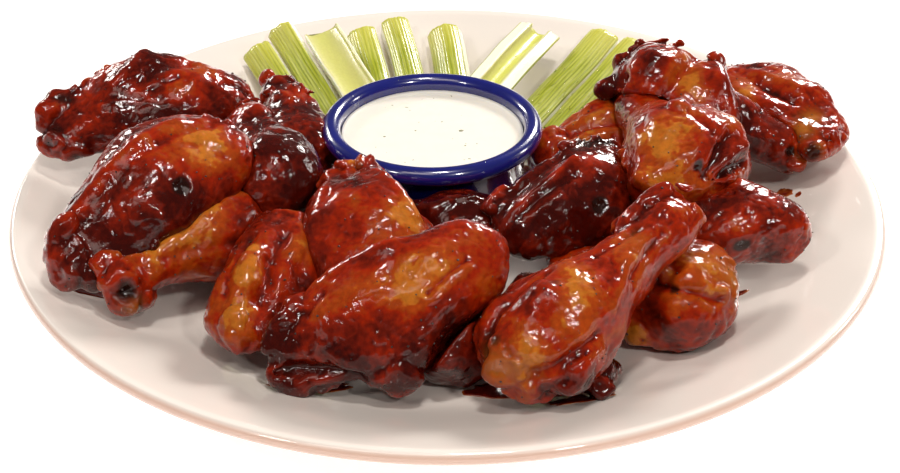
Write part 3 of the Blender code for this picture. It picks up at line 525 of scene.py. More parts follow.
def cobalt_material(settings):
    """Stoneware in cobalt glaze: saturated blue, darker where the glaze pools, under a wet-looking gloss with
    a few dust specks that catch the light."""
    material, tree, shader, place = start_material("cobalt_glazed_stoneware", {
        "Roughness": 0.22, "IOR": 1.52, "Coat Weight": 1.0, "Coat Roughness": 0.04, "Coat IOR": 1.55})
    cloud = add_node(tree, "ShaderNodeTexNoise", {"Vector": place, "Scale": per(9), "Detail": 4.0})
    colour = add_node(tree, "ShaderNodeMix", {
        0: cloud.outputs["Fac"], 6: srgb([c * 0.72 for c in settings.cobalt]),
        7: srgb([min(1.0, c * 1.22) for c in settings.cobalt])}, data_type="RGBA")
    tree.links.new(colour.outputs[2], shader.inputs["Base Color"])
    dust = add_node(tree, "ShaderNodeTexVoronoi", {"Vector": place, "Scale": per(3.2)})
    dot = add_node(tree, "ShaderNodeMapRange", {
        "Value": dust.outputs["Distance"], "From Min": 0.0, "From Max": 0.09, "To Min": 1.0, "To Max": 0.0})
    wave = add_node(tree, "ShaderNodeTexNoise", {"Vector": place, "Scale": per(8), "Detail": 1.0})
    soft = add_node(tree, "ShaderNodeBump", {"Height": wave.outputs["Fac"], "Strength": 0.10,
                                            "Distance": 0.0003})
    bump = add_node(tree, "ShaderNodeBump", {"Height": dot.outputs["Result"], "Strength": 0.6,
                                            "Distance": 0.00012, "Normal": soft.outputs["Normal"]})
    tree.links.new(bump.outputs["Normal"], shader.inputs["Normal"])
    tree.links.new(bump.outputs["Normal"], shader.inputs["Coat Normal"])
    return material


def dip_material(settings):
    """Buttermilk dip: opaque cream that light soaks into a little, with a satin wet skin and faint streaks
    where it was spooned in."""
    material, tree, shader, place = start_material("buttermilk_dip", {
        "Roughness": 0.36, "IOR": 1.36, "Subsurface Weight": 0.35, "Subsurface Scale": 0.002,
        "Subsurface Radius": (1.0, 0.85, 0.6), "Coat Weight": 0.35, "Coat Roughness": 0.15})
    stretch = add_node(tree, "ShaderNodeMapping", {"Vector": place, "Scale": (0.5, 1.6, 1.0),
                                                   "Rotation": (0, 0, 0.35)})
    streak = add_node(tree, "ShaderNodeTexNoise", {"Vector": stretch.outputs["Vector"], "Scale": per(7),
                                                   "Detail": 4.0})
    colour = add_node(tree, "ShaderNodeMix", {
        0: streak.outputs["Fac"], 6: srgb([c * 0.972 for c in settings.cream]), 7: srgb(settings.cream)},
        data_type="RGBA")
    tree.links.new(colour.outputs[2], shader.inputs["Base Color"])
    fine = add_node(tree, "ShaderNodeTexNoise", {"Vector": place, "Scale": per(1.6), "Detail": 2.0})
    bump = add_node(tree, "ShaderNodeBump", {"Height": fine.outputs["Fac"], "Strength": 0.12,
                                            "Distance": 0.0002})
    tree.links.new(bump.outputs["Normal"], shader.inputs["Normal"])
    return material


def celery_material(settings):
    """Raw celery, cut and rinsed: translucent yellow-green strings over a deeper furrow, a pale watery pith
    inside and on the cut sides, and a thin film of water. The grain runs along the stalk."""
    material, tree, shader, place = start_material("raw_celery", {
        "Roughness": 0.34, "IOR": 1.38, "Subsurface Weight": 0.18, "Subsurface Scale": 0.0025,
        "Subsurface Radius": (0.7, 1.0, 0.25), "Coat Weight": 0.35, "Coat Roughness": 0.16})
    flesh = add_node(tree, "ShaderNodeAttribute", attribute_name="flesh")
    layer = add_node(tree, "ShaderNodeSeparateColor", {"Color": flesh.outputs["Color"]})
    grain = add_node(tree, "ShaderNodeAttribute", attribute_name="grain")
    long = add_node(tree, "ShaderNodeMapping", {"Vector": grain.outputs["Vector"], "Scale": (1.1, 0.06, 1.1)})
    streak = add_node(tree, "ShaderNodeTexNoise", {"Vector": long.outputs["Vector"], "Scale": 1.0,
                                                   "Detail": 4.0, "Roughness": 0.65})
    skin = add_node(tree, "ShaderNodeMix", {
        0: layer.outputs["Green"], 6: srgb(settings.furrow), 7: srgb(settings.skin)}, data_type="RGBA")
    # The far ends are paler and yellower: partly celery's own tone, partly painted light from the lamps behind.
    far = add_node(tree, "ShaderNodeSeparateXYZ", {"Vector": grain.outputs["Vector"]})
    far_end_paling_and_light = add_node(tree, "ShaderNodeMapRange", {"Value": far.outputs["Y"], "From Min": 0.0, "From Max": 26.0,
                                                 "To Min": 0.5, "To Max": 0.0})
    grown = add_node(tree, "ShaderNodeMix", {
        0: far_end_paling_and_light.outputs["Result"], 6: skin.outputs[2], 7: srgb("#e6dc62")}, data_type="RGBA")
    light = add_node(tree, "ShaderNodeMapRange", {"Value": streak.outputs["Fac"], "From Min": 0.42,
                                                  "From Max": 0.72, "To Min": 0.0, "To Max": 0.45})
    streaked = add_node(tree, "ShaderNodeMix", {
        0: light.outputs["Result"], 6: grown.outputs[2], 7: srgb("#e4e48e")}, data_type="RGBA")
    cells = add_node(tree, "ShaderNodeTexNoise", {"Vector": place, "Scale": per(1.1), "Detail": 3.0})
    pale = add_node(tree, "ShaderNodeMix", {
        0: cells.outputs["Fac"], 6: srgb([c * 0.90 for c in settings.pith]), 7: srgb(settings.pith)},
        data_type="RGBA")
    core = add_node(tree, "ShaderNodeMix", {
        0: layer.outputs["Green"], 6: pale.outputs[2], 7: srgb("#cdd04c")}, data_type="RGBA")
    cut = add_node(tree, "ShaderNodeMix", {
        0: layer.outputs["Blue"], 6: core.outputs[2], 7: srgb("#f8f8e0")}, data_type="RGBA")
    colour = add_node(tree, "ShaderNodeMix", {
        0: layer.outputs["Red"], 6: streaked.outputs[2], 7: cut.outputs[2]}, data_type="RGBA")
    tree.links.new(colour.outputs[2], shader.inputs["Base Color"])
    fine = add_node(tree, "ShaderNodeTexNoise", {"Vector": place, "Scale": per(0.9), "Detail": 2.0})
    bump = add_node(tree, "ShaderNodeBump", {"Height": fine.outputs["Fac"], "Strength": 0.35,
                                            "Distance": 0.00025})
    tree.links.new(bump.outputs["Normal"], shader.inputs["Normal"])
    return material


def sauce_material(settings):
    """Roast chicken skin tossed in a sticky hot sauce: a clear red-brown gel over browned skin. Where it is
    deep it is near maroon and mirror-smooth, and where it ran off the skin shows golden orange with mottled
    pimples. Scorched tips are black and bones are tan. The attribute it reads holds thinness, char and bone,
    with painted shade folded into thinness and char in creases and on faces turned down."""
    material, tree, shader, place = start_material("sauced_chicken_skin", {
        "IOR": 1.45, "Specular IOR Level": 0.04, "Subsurface Weight": 0.18, "Subsurface Scale": 0.0028,
        "Subsurface Radius": (1.0, 0.20, 0.06), "Coat Weight": 1.0, "Coat Roughness": 0.03, "Coat IOR": 1.38})
    cook_and_shade = add_node(tree, "ShaderNodeAttribute", attribute_name="cook_and_shade")
    parts = add_node(tree, "ShaderNodeSeparateColor", {"Color": cook_and_shade.outputs["Color"]})
    mottle = add_node(tree, "ShaderNodeTexNoise", {"Vector": place, "Scale": per(7.0), "Detail": 4.0,
                                                   "Roughness": 0.55, "Distortion": 0.5})
    spread = add_node(tree, "ShaderNodeMapRange", {"Value": mottle.outputs["Fac"], "From Min": 0.3,
                                                   "From Max": 0.7, "To Min": -0.11, "To Max": 0.11})
    depth = add_node(tree, "ShaderNodeMath", {0: parts.outputs["Red"], 1: spread.outputs["Result"]},
                     operation="ADD", use_clamp=True)
    ramp = add_node(tree, "ShaderNodeValToRGB", {"Fac": depth.outputs[0]}, stops=(
        (0.0, srgb(settings.thick)), (0.26, srgb("#721807")), (0.52, srgb(settings.sauce)),
        (0.72, srgb("#a03c0a")), (0.88, srgb(settings.thin)), (1.0, srgb("#bd6d1e"))))
    speck = add_node(tree, "ShaderNodeTexNoise", {"Vector": place, "Scale": per(2.2), "Detail": 3.0,
                                                  "Roughness": 0.6})
    dark = add_node(tree, "ShaderNodeMapRange", {"Value": speck.outputs["Fac"], "From Min": 0.36,
                                                 "From Max": 0.60, "To Min": 0.76, "To Max": 1.0})
    mottled = add_node(tree, "ShaderNodeMix", {0: 1.0, 6: ramp.outputs["Color"], 7: dark.outputs["Result"]},
                       data_type="RGBA", blend_type="MULTIPLY")
    boned = add_node(tree, "ShaderNodeMix", {
        0: parts.outputs["Blue"], 6: mottled.outputs[2], 7: srgb("#a9621f")}, data_type="RGBA")
    scorch = add_node(tree, "ShaderNodeMath", {0: parts.outputs["Green"], 1: spread.outputs["Result"]},
                      operation="ADD", use_clamp=True)
    black = add_node(tree, "ShaderNodeMapRange", {"Value": scorch.outputs[0], "From Min": 0.42,
                                                  "From Max": 0.85, "To Min": 0.0, "To Max": 0.92})
    colour = add_node(tree, "ShaderNodeMix", {
        0: black.outputs["Result"], 6: boned.outputs[2], 7: srgb("#1e0d09")}, data_type="RGBA")
    tree.links.new(colour.outputs[2], shader.inputs["Base Color"])
    gloss = add_node(tree, "ShaderNodeMapRange", {"Value": depth.outputs[0], "To Min": 0.22, "To Max": 0.46})
    tree.links.new(gloss.outputs["Result"], shader.inputs["Roughness"])
    ripple = add_node(tree, "ShaderNodeTexNoise", {"Vector": place, "Scale": per(2.6), "Detail": 4.0,
                                                   "Roughness": 0.6})
    pimple = add_node(tree, "ShaderNodeTexNoise", {"Vector": place, "Scale": per(1.0), "Detail": 2.0})
    soft = add_node(tree, "ShaderNodeBump", {"Height": ripple.outputs["Fac"], "Strength": 0.30,
                                            "Distance": 0.0006})
    bump = add_node(tree, "ShaderNodeBump", {"Height": pimple.outputs["Fac"], "Strength": 0.10,
                                            "Distance": 0.0003, "Normal": soft.outputs["Normal"]})
    tree.links.new(bump.outputs["Normal"], shader.inputs["Normal"])
    tree.links.new(bump.outputs["Normal"], shader.inputs["Coat Normal"])
    return material


def smear_material():
    """Sauce that ran off onto the china: dark red where it pools, orange-brown at its thin edge. Its darkest pools
    also serve as painted shade beside the cup.
    """
    material, tree, shader, place = start_material("pooled_sauce_and_shade", {
        "Roughness": 0.2, "IOR": 1.42, "Coat Weight": 1.0, "Coat Roughness": 0.06})
    depth = add_node(tree, "ShaderNodeAttribute", attribute_name="depth")
    cloud = add_node(tree, "ShaderNodeTexNoise", {"Vector": place, "Scale": per(3.5), "Detail": 3.0})
    spread = add_node(tree, "ShaderNodeMapRange", {"Value": cloud.outputs["Fac"], "From Min": 0.3,
                                                   "From Max": 0.7, "To Min": -0.2, "To Max": 0.2})
    total = add_node(tree, "ShaderNodeMath", {0: depth.outputs["Fac"], 1: spread.outputs["Result"]},
                     operation="ADD", use_clamp=True)
    ramp = add_node(tree, "ShaderNodeValToRGB", {"Fac": total.outputs[0]}, stops=(
        (0.0, srgb("#c98a55")), (0.22, srgb("#a34d1c")), (0.5, srgb("#6a1408")), (1.0, srgb("#3a0703"))))
    tree.links.new(ramp.outputs["Color"], shader.inputs["Base Color"])
    return material


def speck_material(name, first, second, size, roughness):
    """Ground spice, scorched crumbs or chopped herb: small dry grains in two shades, matt unless wetted."""
    material, tree, shader, place = start_material(name, {
        "Roughness": roughness, "Coat Weight": 0.6, "Coat Roughness": 0.15})
    shade = add_node(tree, "ShaderNodeTexNoise", {"Vector": place, "Scale": per(size), "Detail": 2.0})
    colour = add_node(tree, "ShaderNodeMix", {0: shade.outputs["Fac"], 6: srgb(first), 7: srgb(second)},
                      data_type="RGBA")
    tree.links.new(colour.outputs[2], shader.inputs["Base Color"])
    return material


def water_material():
    """Rinsing water: clear beads that show as a bright point and a darker rim."""
    material, tree, shader, place = start_material("water", {
        "Base Color": (1, 1, 1, 1), "Roughness": 0.02, "IOR": 1.33, "Transmission Weight": 1.0})
    return material


# ---------------------------------------------------------------- shaping


def face_outwards(bm):
    """Turns every face of a closed body outwards."""
    bmesh.ops.recalc_face_normals(bm, faces=bm.faces)
    if bm.calc_volume(signed=True) < 0:
        bmesh.ops.reverse_faces(bm, faces=bm.faces)


def finish_piece(name, mesh, material, slot, *nodes):
    """Shows a finished mesh as a piece of the object, in place of the CAD nodes that it stands for."""
    mesh.name = name
    mesh.shade_smooth()
    mesh.materials.clear()
    mesh.materials.append(material)
    piece = bpy.data.objects.new(name, mesh)
    bpy.context.scene.collection.objects.link(piece)
    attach(piece, "root")
    if nodes:
        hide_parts(*nodes)
    return piece


def to_mesh(bm):
    mesh = bpy.data.meshes.new("shape")
    bm.to_mesh(mesh)
    bm.free()
    return mesh


def modified(bm, *modifiers):
    """The mesh that a bmesh becomes under the modifiers, each a (kind, settings) pair. The bmesh is freed."""
    shape = bpy.data.objects.new("shape", to_mesh(bm))
    bpy.context.scene.collection.objects.link(shape)
    for kind, settings in modifiers:
        modifier = shape.modifiers.new(kind, kind)
        for name, value in settings.items():
            setattr(modifier, name, value)
    bpy.context.view_layer.update()
    result = bpy.data.meshes.new_from_object(shape.evaluated_get(bpy.context.evaluated_depsgraph_get()))
    old = shape.data
    bpy.data.objects.remove(shape, do_unlink=True)
    bpy.data.meshes.remove(old)
    return result


def smooth_curve(stops, steps):
    """Points of a curve through the stops, with so many steps between each two."""
    ends = [tuple(2 * a - b for a, b in zip(stops[0], stops[1]))], [
        tuple(2 * a - b for a, b in zip(stops[-1], stops[-2]))]
    padded = ends[0] + list(stops) + ends[1]
    points = []
    for p0, p1, p2, p3 in zip(padded, padded[1:], padded[2:], padded[3:]):
        for step in range(steps):
            t = step / steps
            points.append(tuple(
                0.5 * (2 * b + (c - a) * t + (2 * a - 5 * b + 4 * c - d) * t * t
                       + (3 * b - a - 3 * c + d) * t ** 3) for a, b, c, d in zip(p0, p1, p2, p3)))
    return points + [tuple(stops[-1])]


def arc(centre, radius, start, end, steps):
    """Points of a profile's round stretch, between two angles in degrees."""
    angles = [math.radians(start + (end - start) * i / steps) for i in range(steps + 1)]
    return [(centre[0] + radius * math.cos(a), centre[1] + radius * math.sin(a)) for a in angles]


def turned(profile, facets, centre=(0, 0)):
    """A closed bmesh turned about a vertical axis. The profile's (radius, z) points begin and end on it."""
    bm = bmesh.new()
    points = [bm.verts.new((radius * MM, 0, z * MM)) for radius, z in profile]
    edges = [bm.edges.new(pair) for pair in zip(points, points[1:])]
    bmesh.ops.spin(bm, geom=points + edges, axis=(0, 0, 1), cent=(0, 0, 0), angle=math.tau, steps=facets,
                   use_merge=True)
    bmesh.ops.remove_doubles(bm, verts=bm.verts, dist=0.01 * MM)
    bmesh.ops.translate(bm, verts=bm.verts, vec=(centre[0] * MM, centre[1] * MM, 0))
    face_outwards(bm)
    return bm


def rim_points():
    """The plate's upper face as (radius, z), from the well's edge to the lip."""
    run = PLATE_RADIUS - RIM_THICKNESS / 2 - WELL_RADIUS
    return [(WELL_RADIUS + x * run, WELL_Z + y * (PLATE_HEIGHT - WELL_Z)) for x, y in smooth_curve(RIM_CURVE, 8)]


def plate_z(radius):
    """Height of the plate's upper face."""
    points = rim_points()
    return float(np.interp(radius, [p[0] for p in points], [p[1] for p in points]))


def paint(mesh, name, values):
    """Stores an array as a point attribute: one number, a vector or a colour for each point."""
    kind = {1: "FLOAT", 3: "FLOAT_VECTOR", 4: "FLOAT_COLOR"}[values.shape[1] if values.ndim > 1 else 1]
    field = {"FLOAT": "value", "FLOAT_VECTOR": "vector", "FLOAT_COLOR": "color"}[kind]
    attribute = mesh.attributes.new(name, kind, "POINT")
    attribute.data.foreach_set(field, np.ascontiguousarray(values, dtype=np.float32).ravel())


def points_of(mesh):
    """The points of a mesh and their normals, as two arrays."""
    points = np.empty(len(mesh.vertices) * 3, dtype=np.float32)
    normals = np.empty(len(mesh.vertices) * 3, dtype=np.float32)
    mesh.vertices.foreach_get("co", points)
    mesh.vertex_normals.foreach_get("vector", normals)
    return points.reshape(-1, 3).astype(float), normals.reshape(-1, 3).astype(float)


def set_points(mesh, points):
    mesh.vertices.foreach_set("co", np.ascontiguousarray(points, dtype=np.float32).ravel())
    mesh.update()


LATTICE = 32
_draw = np.random.RandomState(4)
SLOPES = _draw.normal(size=(LATTICE, LATTICE, LATTICE, 3))
SLOPES /= np.linalg.norm(SLOPES, axis=3, keepdims=True)
SCATTER = _draw.rand(LATTICE, LATTICE, LATTICE, 3)


def waves(points, size, seed):
    """Smooth random waves of about that size in millimetres, mostly from -1 to 1."""
    place = points / size + np.array((seed * 1.71, seed * 2.93, seed * 0.57))
    cell = np.floor(place).astype(int)
    rest = place - cell
    ease = rest ** 3 * (rest * (rest * 6 - 15) + 10)
    total = np.zeros(len(points))
    for corner in product((0, 1), repeat=3):
        share = np.prod(np.where(corner, ease, 1 - ease), axis=1)
        i, j, k = ((cell + corner) % LATTICE).T
        total += share * np.einsum("ij,ij->i", SLOPES[i, j, k], rest - corner)
    return total * 1.7


def pimples(points, size, seed):
    """Round bumps of about that spacing, 1 at the middle of each and 0 between them."""
    place = points / size + seed * 3.3
    cell = np.floor(place).astype(int)
    nearest = np.full(len(points), 9.0)
    for corner in product((-1, 0, 1), repeat=3):
        near = cell + corner
        i, j, k = (near % LATTICE).T
        nearest = np.minimum(nearest, ((near + SCATTER[i, j, k] - place) ** 2).sum(axis=1))
    return np.clip(1 - nearest / 0.45, 0, 1)


def step_up(values, low, high):
    """0 below low, 1 above high and smooth between."""
    t = np.clip((values - low) / (high - low), 0, 1)
    return t * t * (3 - 2 * t)


# ---------------------------------------------------------------- plate, cup and dip


def plate_mesh():
    lip_centre = (PLATE_RADIUS - RIM_THICKNESS / 2, PLATE_HEIGHT - RIM_THICKNESS / 2)
    foot_inside = FOOT_RADIUS - FOOT_WIDTH
    well = [(r, WELL_Z) for r in (0, 20, 45, 70, 90)]
    under = smooth_curve(((lip_centre[0] + 0.4, lip_centre[1] - 2.2), (132, 12.0), BELLY), 8)[1:]
    foot = [(FOOT_RADIUS + 1.6, FOOT_HEIGHT + 0.2), (FOOT_RADIUS + 0.5, 0.7), (FOOT_RADIUS - 0.3, 0.12),
            (FOOT_RADIUS - 1.2, 0), (foot_inside + 1.2, 0), (foot_inside + 0.2, 0.15), (foot_inside - 1, 1.0),
            (foot_inside - 2, BASE_Z), (0, BASE_Z)]
    profile = well + rim_points()[:-1] + arc(lip_centre, RIM_THICKNESS / 2, 80, -80, 14) + under + foot
    mesh = to_mesh(turned(profile, PLATE_TURN))
    points, normals = points_of(mesh)
    radius = np.hypot(points[:, 0], points[:, 1]) / MM
    paint(mesh, "lip", step_up(radius, PLATE_RADIUS - 1.6, PLATE_RADIUS - 0.1))
    return mesh


def cup_mesh():
    roll = (CUP_RIM_RADIUS, CUP_TOP_Z - CUP_ROLL_RADIUS)
    foot_z = CUP_FLOOR_Z - 4.0
    inside = smooth_curve(((CUP_FOOT_RADIUS - CUP_WALL, CUP_FLOOR_Z + 0.6),
                           (roll[0] - CUP_ROLL_RADIUS - CUP_NECK, roll[1] - CUP_NECK_DEPTH),
                           (roll[0] - CUP_ROLL_RADIUS, roll[1])), 6)
    wall = [(roll[0] - CUP_ROLL_RADIUS + CUP_WALL / 2, roll[1] - CUP_ROLL_RADIUS * 1.45),
            (CUP_FOOT_RADIUS + 2.8, 18.0), (CUP_FOOT_RADIUS + 1.2, foot_z + 1.8), (CUP_FOOT_RADIUS - 0.4, foot_z),
            (0, foot_z)]
    profile = [(0, CUP_FLOOR_Z), (CUP_FOOT_RADIUS - CUP_WALL - 1.5, CUP_FLOOR_Z)] + inside[:-1]
    profile += arc(roll, CUP_ROLL_RADIUS, 180, -62, 28) + wall
    return to_mesh(turned(profile, CUP_TURN, CUP_CENTRE))


def dip_mesh():
    """The dip: level, a little uneven where it was spooned in, and clinging up the wall."""
    edge = DIP_RADIUS - 0.35
    rings = [edge * i / 34 for i in range(35)]
    profile = [(r, DIP_TOP_Z - 0.5 + 0.5 * math.exp((r - edge) / 0.9)) for r in rings]
    profile += [(edge - CUP_NECK, DIP_TOP_Z - 4.5), (CUP_FOOT_RADIUS - CUP_WALL - 0.5, CUP_FLOOR_Z + 0.4),
                (0, CUP_FLOOR_Z + 0.4)]
    mesh = to_mesh(turned(profile, CUP_TURN, CUP_CENTRE))
    points, normals = points_of(mesh)
    flat = points / MM
    turn = np.stack((flat[:, 0] * 0.5 + flat[:, 1] * 0.2, flat[:, 1] * 1.1 - flat[:, 0] * 0.3, flat[:, 2]), axis=1)
    away = np.hypot(flat[:, 0] - CUP_CENTRE[0], flat[:, 1] - CUP_CENTRE[1])
    inner = (flat[:, 2] > DIP_TOP_Z - 1.2) * step_up(-away, -edge + 0.5, -edge + 5)
    points[:, 2] += inner * (waves(turn, 9, 3) * 0.16 + waves(turn, 3.2, 5) * 0.05) * MM
    set_points(mesh, points)
    return mesh


class PLATTER_OT_plate(bpy.types.Operator):
    """Turns the round china plate and gives it its glaze"""

    bl_idname = "platter.plate"
    bl_label = "Plate"

    def execute(self, context):
        finish_piece("china_plate", plate_mesh(), china_material(context.scene.platter_china), "plate", "plate")
        return {"FINISHED"}


class PLATTER_OT_cup(bpy.types.Operator):
    """Turns the cobalt cup and fills it with dip and herb flecks"""

    bl_idname = "platter.cup"
    bl_label = "Cup and dip"

    def execute(self, context):
        settings = context.scene.platter_dip
        cobalt = cobalt_material(context.scene.platter_china)
        finish_piece("cobalt_cup", cup_mesh(), cobalt, "dip_cup", "dip_cup")
        finish_piece("dip_filling", dip_mesh(), dip_material(settings), "dip", "dip")
        draw = random.Random(8)
        bm = bmesh.new()
        for _ in range(settings.flecks):
            away, turn = (DIP_RADIUS - 2.5) * math.sqrt(draw.random()), draw.uniform(0, math.tau)
            size = draw.choice((0.35, 0.45, 0.6, 0.9)) * draw.uniform(0.8, 1.2)
            spot = Vector((CUP_CENTRE[0] + away * math.cos(turn), CUP_CENTRE[1] + away * math.sin(turn),
                           DIP_TOP_Z - 0.5 - 0.10 + draw.uniform(-0.05, 0.03)))
            lay = Matrix.Scale(MM, 4) @ Matrix.Translation(spot) @ Matrix.Rotation(turn * 3, 4, "Z")
            shape = Matrix.Diagonal((size, size * draw.uniform(0.35, 0.8), 0.16, 1))
            flake = bmesh.ops.create_icosphere(bm, subdivisions=1, radius=1.0, matrix=lay @ shape)
            for vert in flake["verts"]:
                vert.co += Vector([draw.uniform(-0.18, 0.18) * size * MM for _ in range(2)] + [0])
        herbs = speck_material("chopped_herbs", "#6f7440", "#8d8a5c", 2.0, 0.6)
        finish_piece("herb_flecks", to_mesh(bm), herbs, "dip")
        return {"FINISHED"}


# ---------------------------------------------------------------- celery


def placed(start, end, faces):
    """The matrix from a piece's own frame, in millimetres, to where it lies: X to its end, Z as it faces."""
    x_axis = (Vector(end) - Vector(start)).normalized()
    toward = Vector(faces)
    z_axis = (toward - toward.dot(x_axis) * x_axis).normalized()
    y_axis = z_axis.cross(x_axis)
    turn = Matrix((x_axis, y_axis, z_axis)).transposed().to_4x4()
    return Matrix.Scale(MM, 4) @ Matrix.Translation(Vector(start)) @ turn


def stick_section(width, curl, upright, seed):
    """The outline across a stalk, and what each of its points is: how far its side is from the ribbed back
    (0 on the back, 1 inside), how high it is on a rib, and how much of it is a cut face."""
    draw = random.Random(seed)
    half = curl * math.pi / 2
    outer = width / 2 / math.sin(half)
    ribs = max(5, round(outer * half * 2 / RIB_SPACING))
    heights = [RIB_HEIGHT * draw.uniform(0.5, 1.3) for _ in range(ribs + 1)]
    points, layers = [], []
    for i in range(ribs * 7 + 1):
        share = i / (ribs * 7)
        rib = abs(math.sin(math.pi * share * ribs)) ** 0.8
        edge = 0.35 * math.exp(-min(share, 1 - share) * ribs * 2.5)
        radius = outer + heights[int(share * ribs)] * (rib - 1.0) - edge
        angle = half * (1 - 2 * share)
        points.append((radius * math.sin(angle), radius * math.cos(angle)))
        layers.append((0.0, rib, 0.0))
    lean = 0 if upright else half
    side = (width / 2 - CELERY_WALL * math.sin(lean), outer * math.cos(half) - CELERY_WALL * math.cos(lean))
    foot, crown = side[0] - CELERY_FOOT, outer - CELERY_WALL
    last = points[-1]
    for k in range(1, 9):
        t = k / 8
        points.append((last[0] + (-side[0] - last[0]) * t, last[1] + (side[1] - last[1]) * t))
        layers.append((1.0, 0.0, 1.0))
    for i in range(21):
        turn = math.pi / 2 * (2 * i / 20 - 1)
        points.append((foot * math.sin(turn), side[1] + (crown - side[1]) * math.cos(turn)))
        layers.append((1.0, curl * math.cos(turn) ** 2, 0.0))
    for k in range(8):
        t = k / 8
        points.append((side[0] + (points[0][0] - side[0]) * t, side[1] + (points[0][1] - side[1]) * t))
        layers.append((1.0, 0.0, 1.0))
    middle = (outer + min(side[1], last[1])) / 2
    return [(y, z - middle) for y, z in points], layers


def stick_mesh(far, near, width, curl, upright, faces, seed):
    """A stalk: its section drawn along in short steps, sagging and swelling a little, with ragged cut ends."""
    section, layers = stick_section(width, curl, upright, seed)
    length = (Vector(near) - Vector(far)).length
    bm = bmesh.new()
    end = bm.faces.new([bm.verts.new((0, y, z)) for y, z in section])
    for station in range(STICK_STATIONS):
        extruded = bmesh.ops.extrude_face_region(bm, geom=[end])["geom"]
        if station:
            bmesh.ops.delete(bm, geom=[end], context="FACES_ONLY")
        end = next(item for item in extruded if isinstance(item, bmesh.types.BMFace))
        bmesh.ops.translate(bm, verts=end.verts, vec=(length / STICK_STATIONS, 0, 0))
    for cap in [face for face in bm.faces if len(face.verts) > 4]:
        for _ in range(2):
            bmesh.ops.inset_region(bm, faces=[cap], thickness=0.35)
    bmesh.ops.triangulate(bm, faces=[face for face in bm.faces if len(face.verts) > 4])
    face_outwards(bm)
    mesh = to_mesh(bm)
    points, normals = points_of(mesh)
    outline = np.array(section)
    nearest = np.argmin(((points[:, None, 1:] - outline[None]) ** 2).sum(axis=2), axis=1)
    off = np.sqrt(((points[:, 1:] - outline[nearest]) ** 2).sum(axis=1))
    flesh = np.array(layers)[nearest]
    end = (off > 0.05)
    flesh[end] = (1.0, 0.0, 0.6)
    share = points[:, 0] / length
    paint(mesh, "flesh", np.concatenate((flesh, np.ones((len(points), 1))), axis=1))
    paint(mesh, "grain", np.stack((points[:, 1] + seed * 20, points[:, 0], points[:, 2] * 0.5), axis=1))
    ends = np.exp(-np.minimum(share, 1 - share) * length / 1.4)
    across = points * np.array((0.0, 1.0, 1.0))
    inside = flesh[:, 0]
    points[:, 0] += ends * waves(across, 2.0, seed) * 0.8 * np.sign(0.5 - share)
    points[:, 1] *= 1 - CELERY_TAPER * share + 0.04 * waves(points * (1, 0, 0), 22, seed)
    points[:, 2] -= CELERY_SAG * np.sin(math.pi * share)
    points[:, 1] += waves(points * (1, 0, 0), 34, seed + 4) * 0.6
    long_way = points * np.array((0.22, 1.0, 1.0))
    points += normals * (waves(long_way, 3.4, seed + 2) * 0.12
                         + inside * waves(points, 1.7, seed) * 0.07)[:, None]
    set_points(mesh, points)
    mesh.transform(placed(far, near, faces))
    mesh.update()
    return mesh


class PLATTER_OT_celery(bpy.types.Operator):
    """Lays the ribbed celery sticks behind the cup and wets them"""

    bl_idname = "platter.celery"
    bl_label = "Celery"

    def execute(self, context):
        settings = context.scene.platter_celery
        flesh = celery_material(settings)
        tops = []
        for name, row in STICKS.items():
            piece = finish_piece(name + "_stalk", stick_mesh(*row), flesh, "celery", name)
            points, normals = points_of(piece.data)
            wet = (normals[:, 2] > 0.35) & (points[:, 1] < 0.10)
            weight = 5 if name in ("celery_9", "celery_8") else 1
            tops += [(Vector(p), Vector(n)) for p, n in zip(points[wet][::7], normals[wet][::7])] * weight
        draw = random.Random(3)
        bm = bmesh.new()
        for spot, up in draw.sample(tops, settings.droplets):
            size = draw.uniform(0.25, 0.6) * MM
            lay = Matrix.Translation(spot) @ up.to_track_quat("Z", "Y").to_matrix().to_4x4()
            shape = Matrix.Diagonal((size, size * draw.uniform(0.7, 1.3), size * 0.55, 1))
            bmesh.ops.create_icosphere(bm, subdivisions=2, radius=1.0, matrix=lay @ shape)
        finish_piece("water_droplets", to_mesh(bm), water_material(), "celery")
        return {"FINISHED"}


# ---------------------------------------------------------------- wings


class Skin:
    """A wing piece's points in its own frame, with where each is along it and round it."""

    def __init__(self, mesh, length, bow, sway):
        self.mesh = mesh
        self.length = length
        self.points, self.normals = points_of(mesh)
        along = self.points[:, 0] / length
        arch = np.sin(math.pi * np.clip(along, 0, 1))
        self.along = along
        self.angle = np.degrees(np.arctan2(self.points[:, 1] - sway * arch, self.points[:, 2] - bow * arch))

    def site(self, place):
        """The number of the point nearest to a place on the piece."""
        turn = (self.angle - place[1] + 180) % 360 - 180
        return int(np.argmin(((self.along - place[0]) * self.length) ** 2 + (turn * 0.26) ** 2))

    def spot(self, place):
        return self.points[self.site(place)]

    def nearness(self, places, radius):
        """How near every point is to a line through the places: 1 on it, fading over the radius."""
        stops = [self.spot(place) for place in places]
        gap = np.full(len(self.points), 1e9)
        for a, b in zip(stops, stops[1:] or stops):
            run = b - a
            t = np.clip((self.points - a) @ run / max(run @ run, 1e-9), 0, 1)
            gap = np.minimum(gap, ((self.points - a - t[:, None] * run) ** 2).sum(axis=1))
        return np.exp(-gap / radius ** 2)


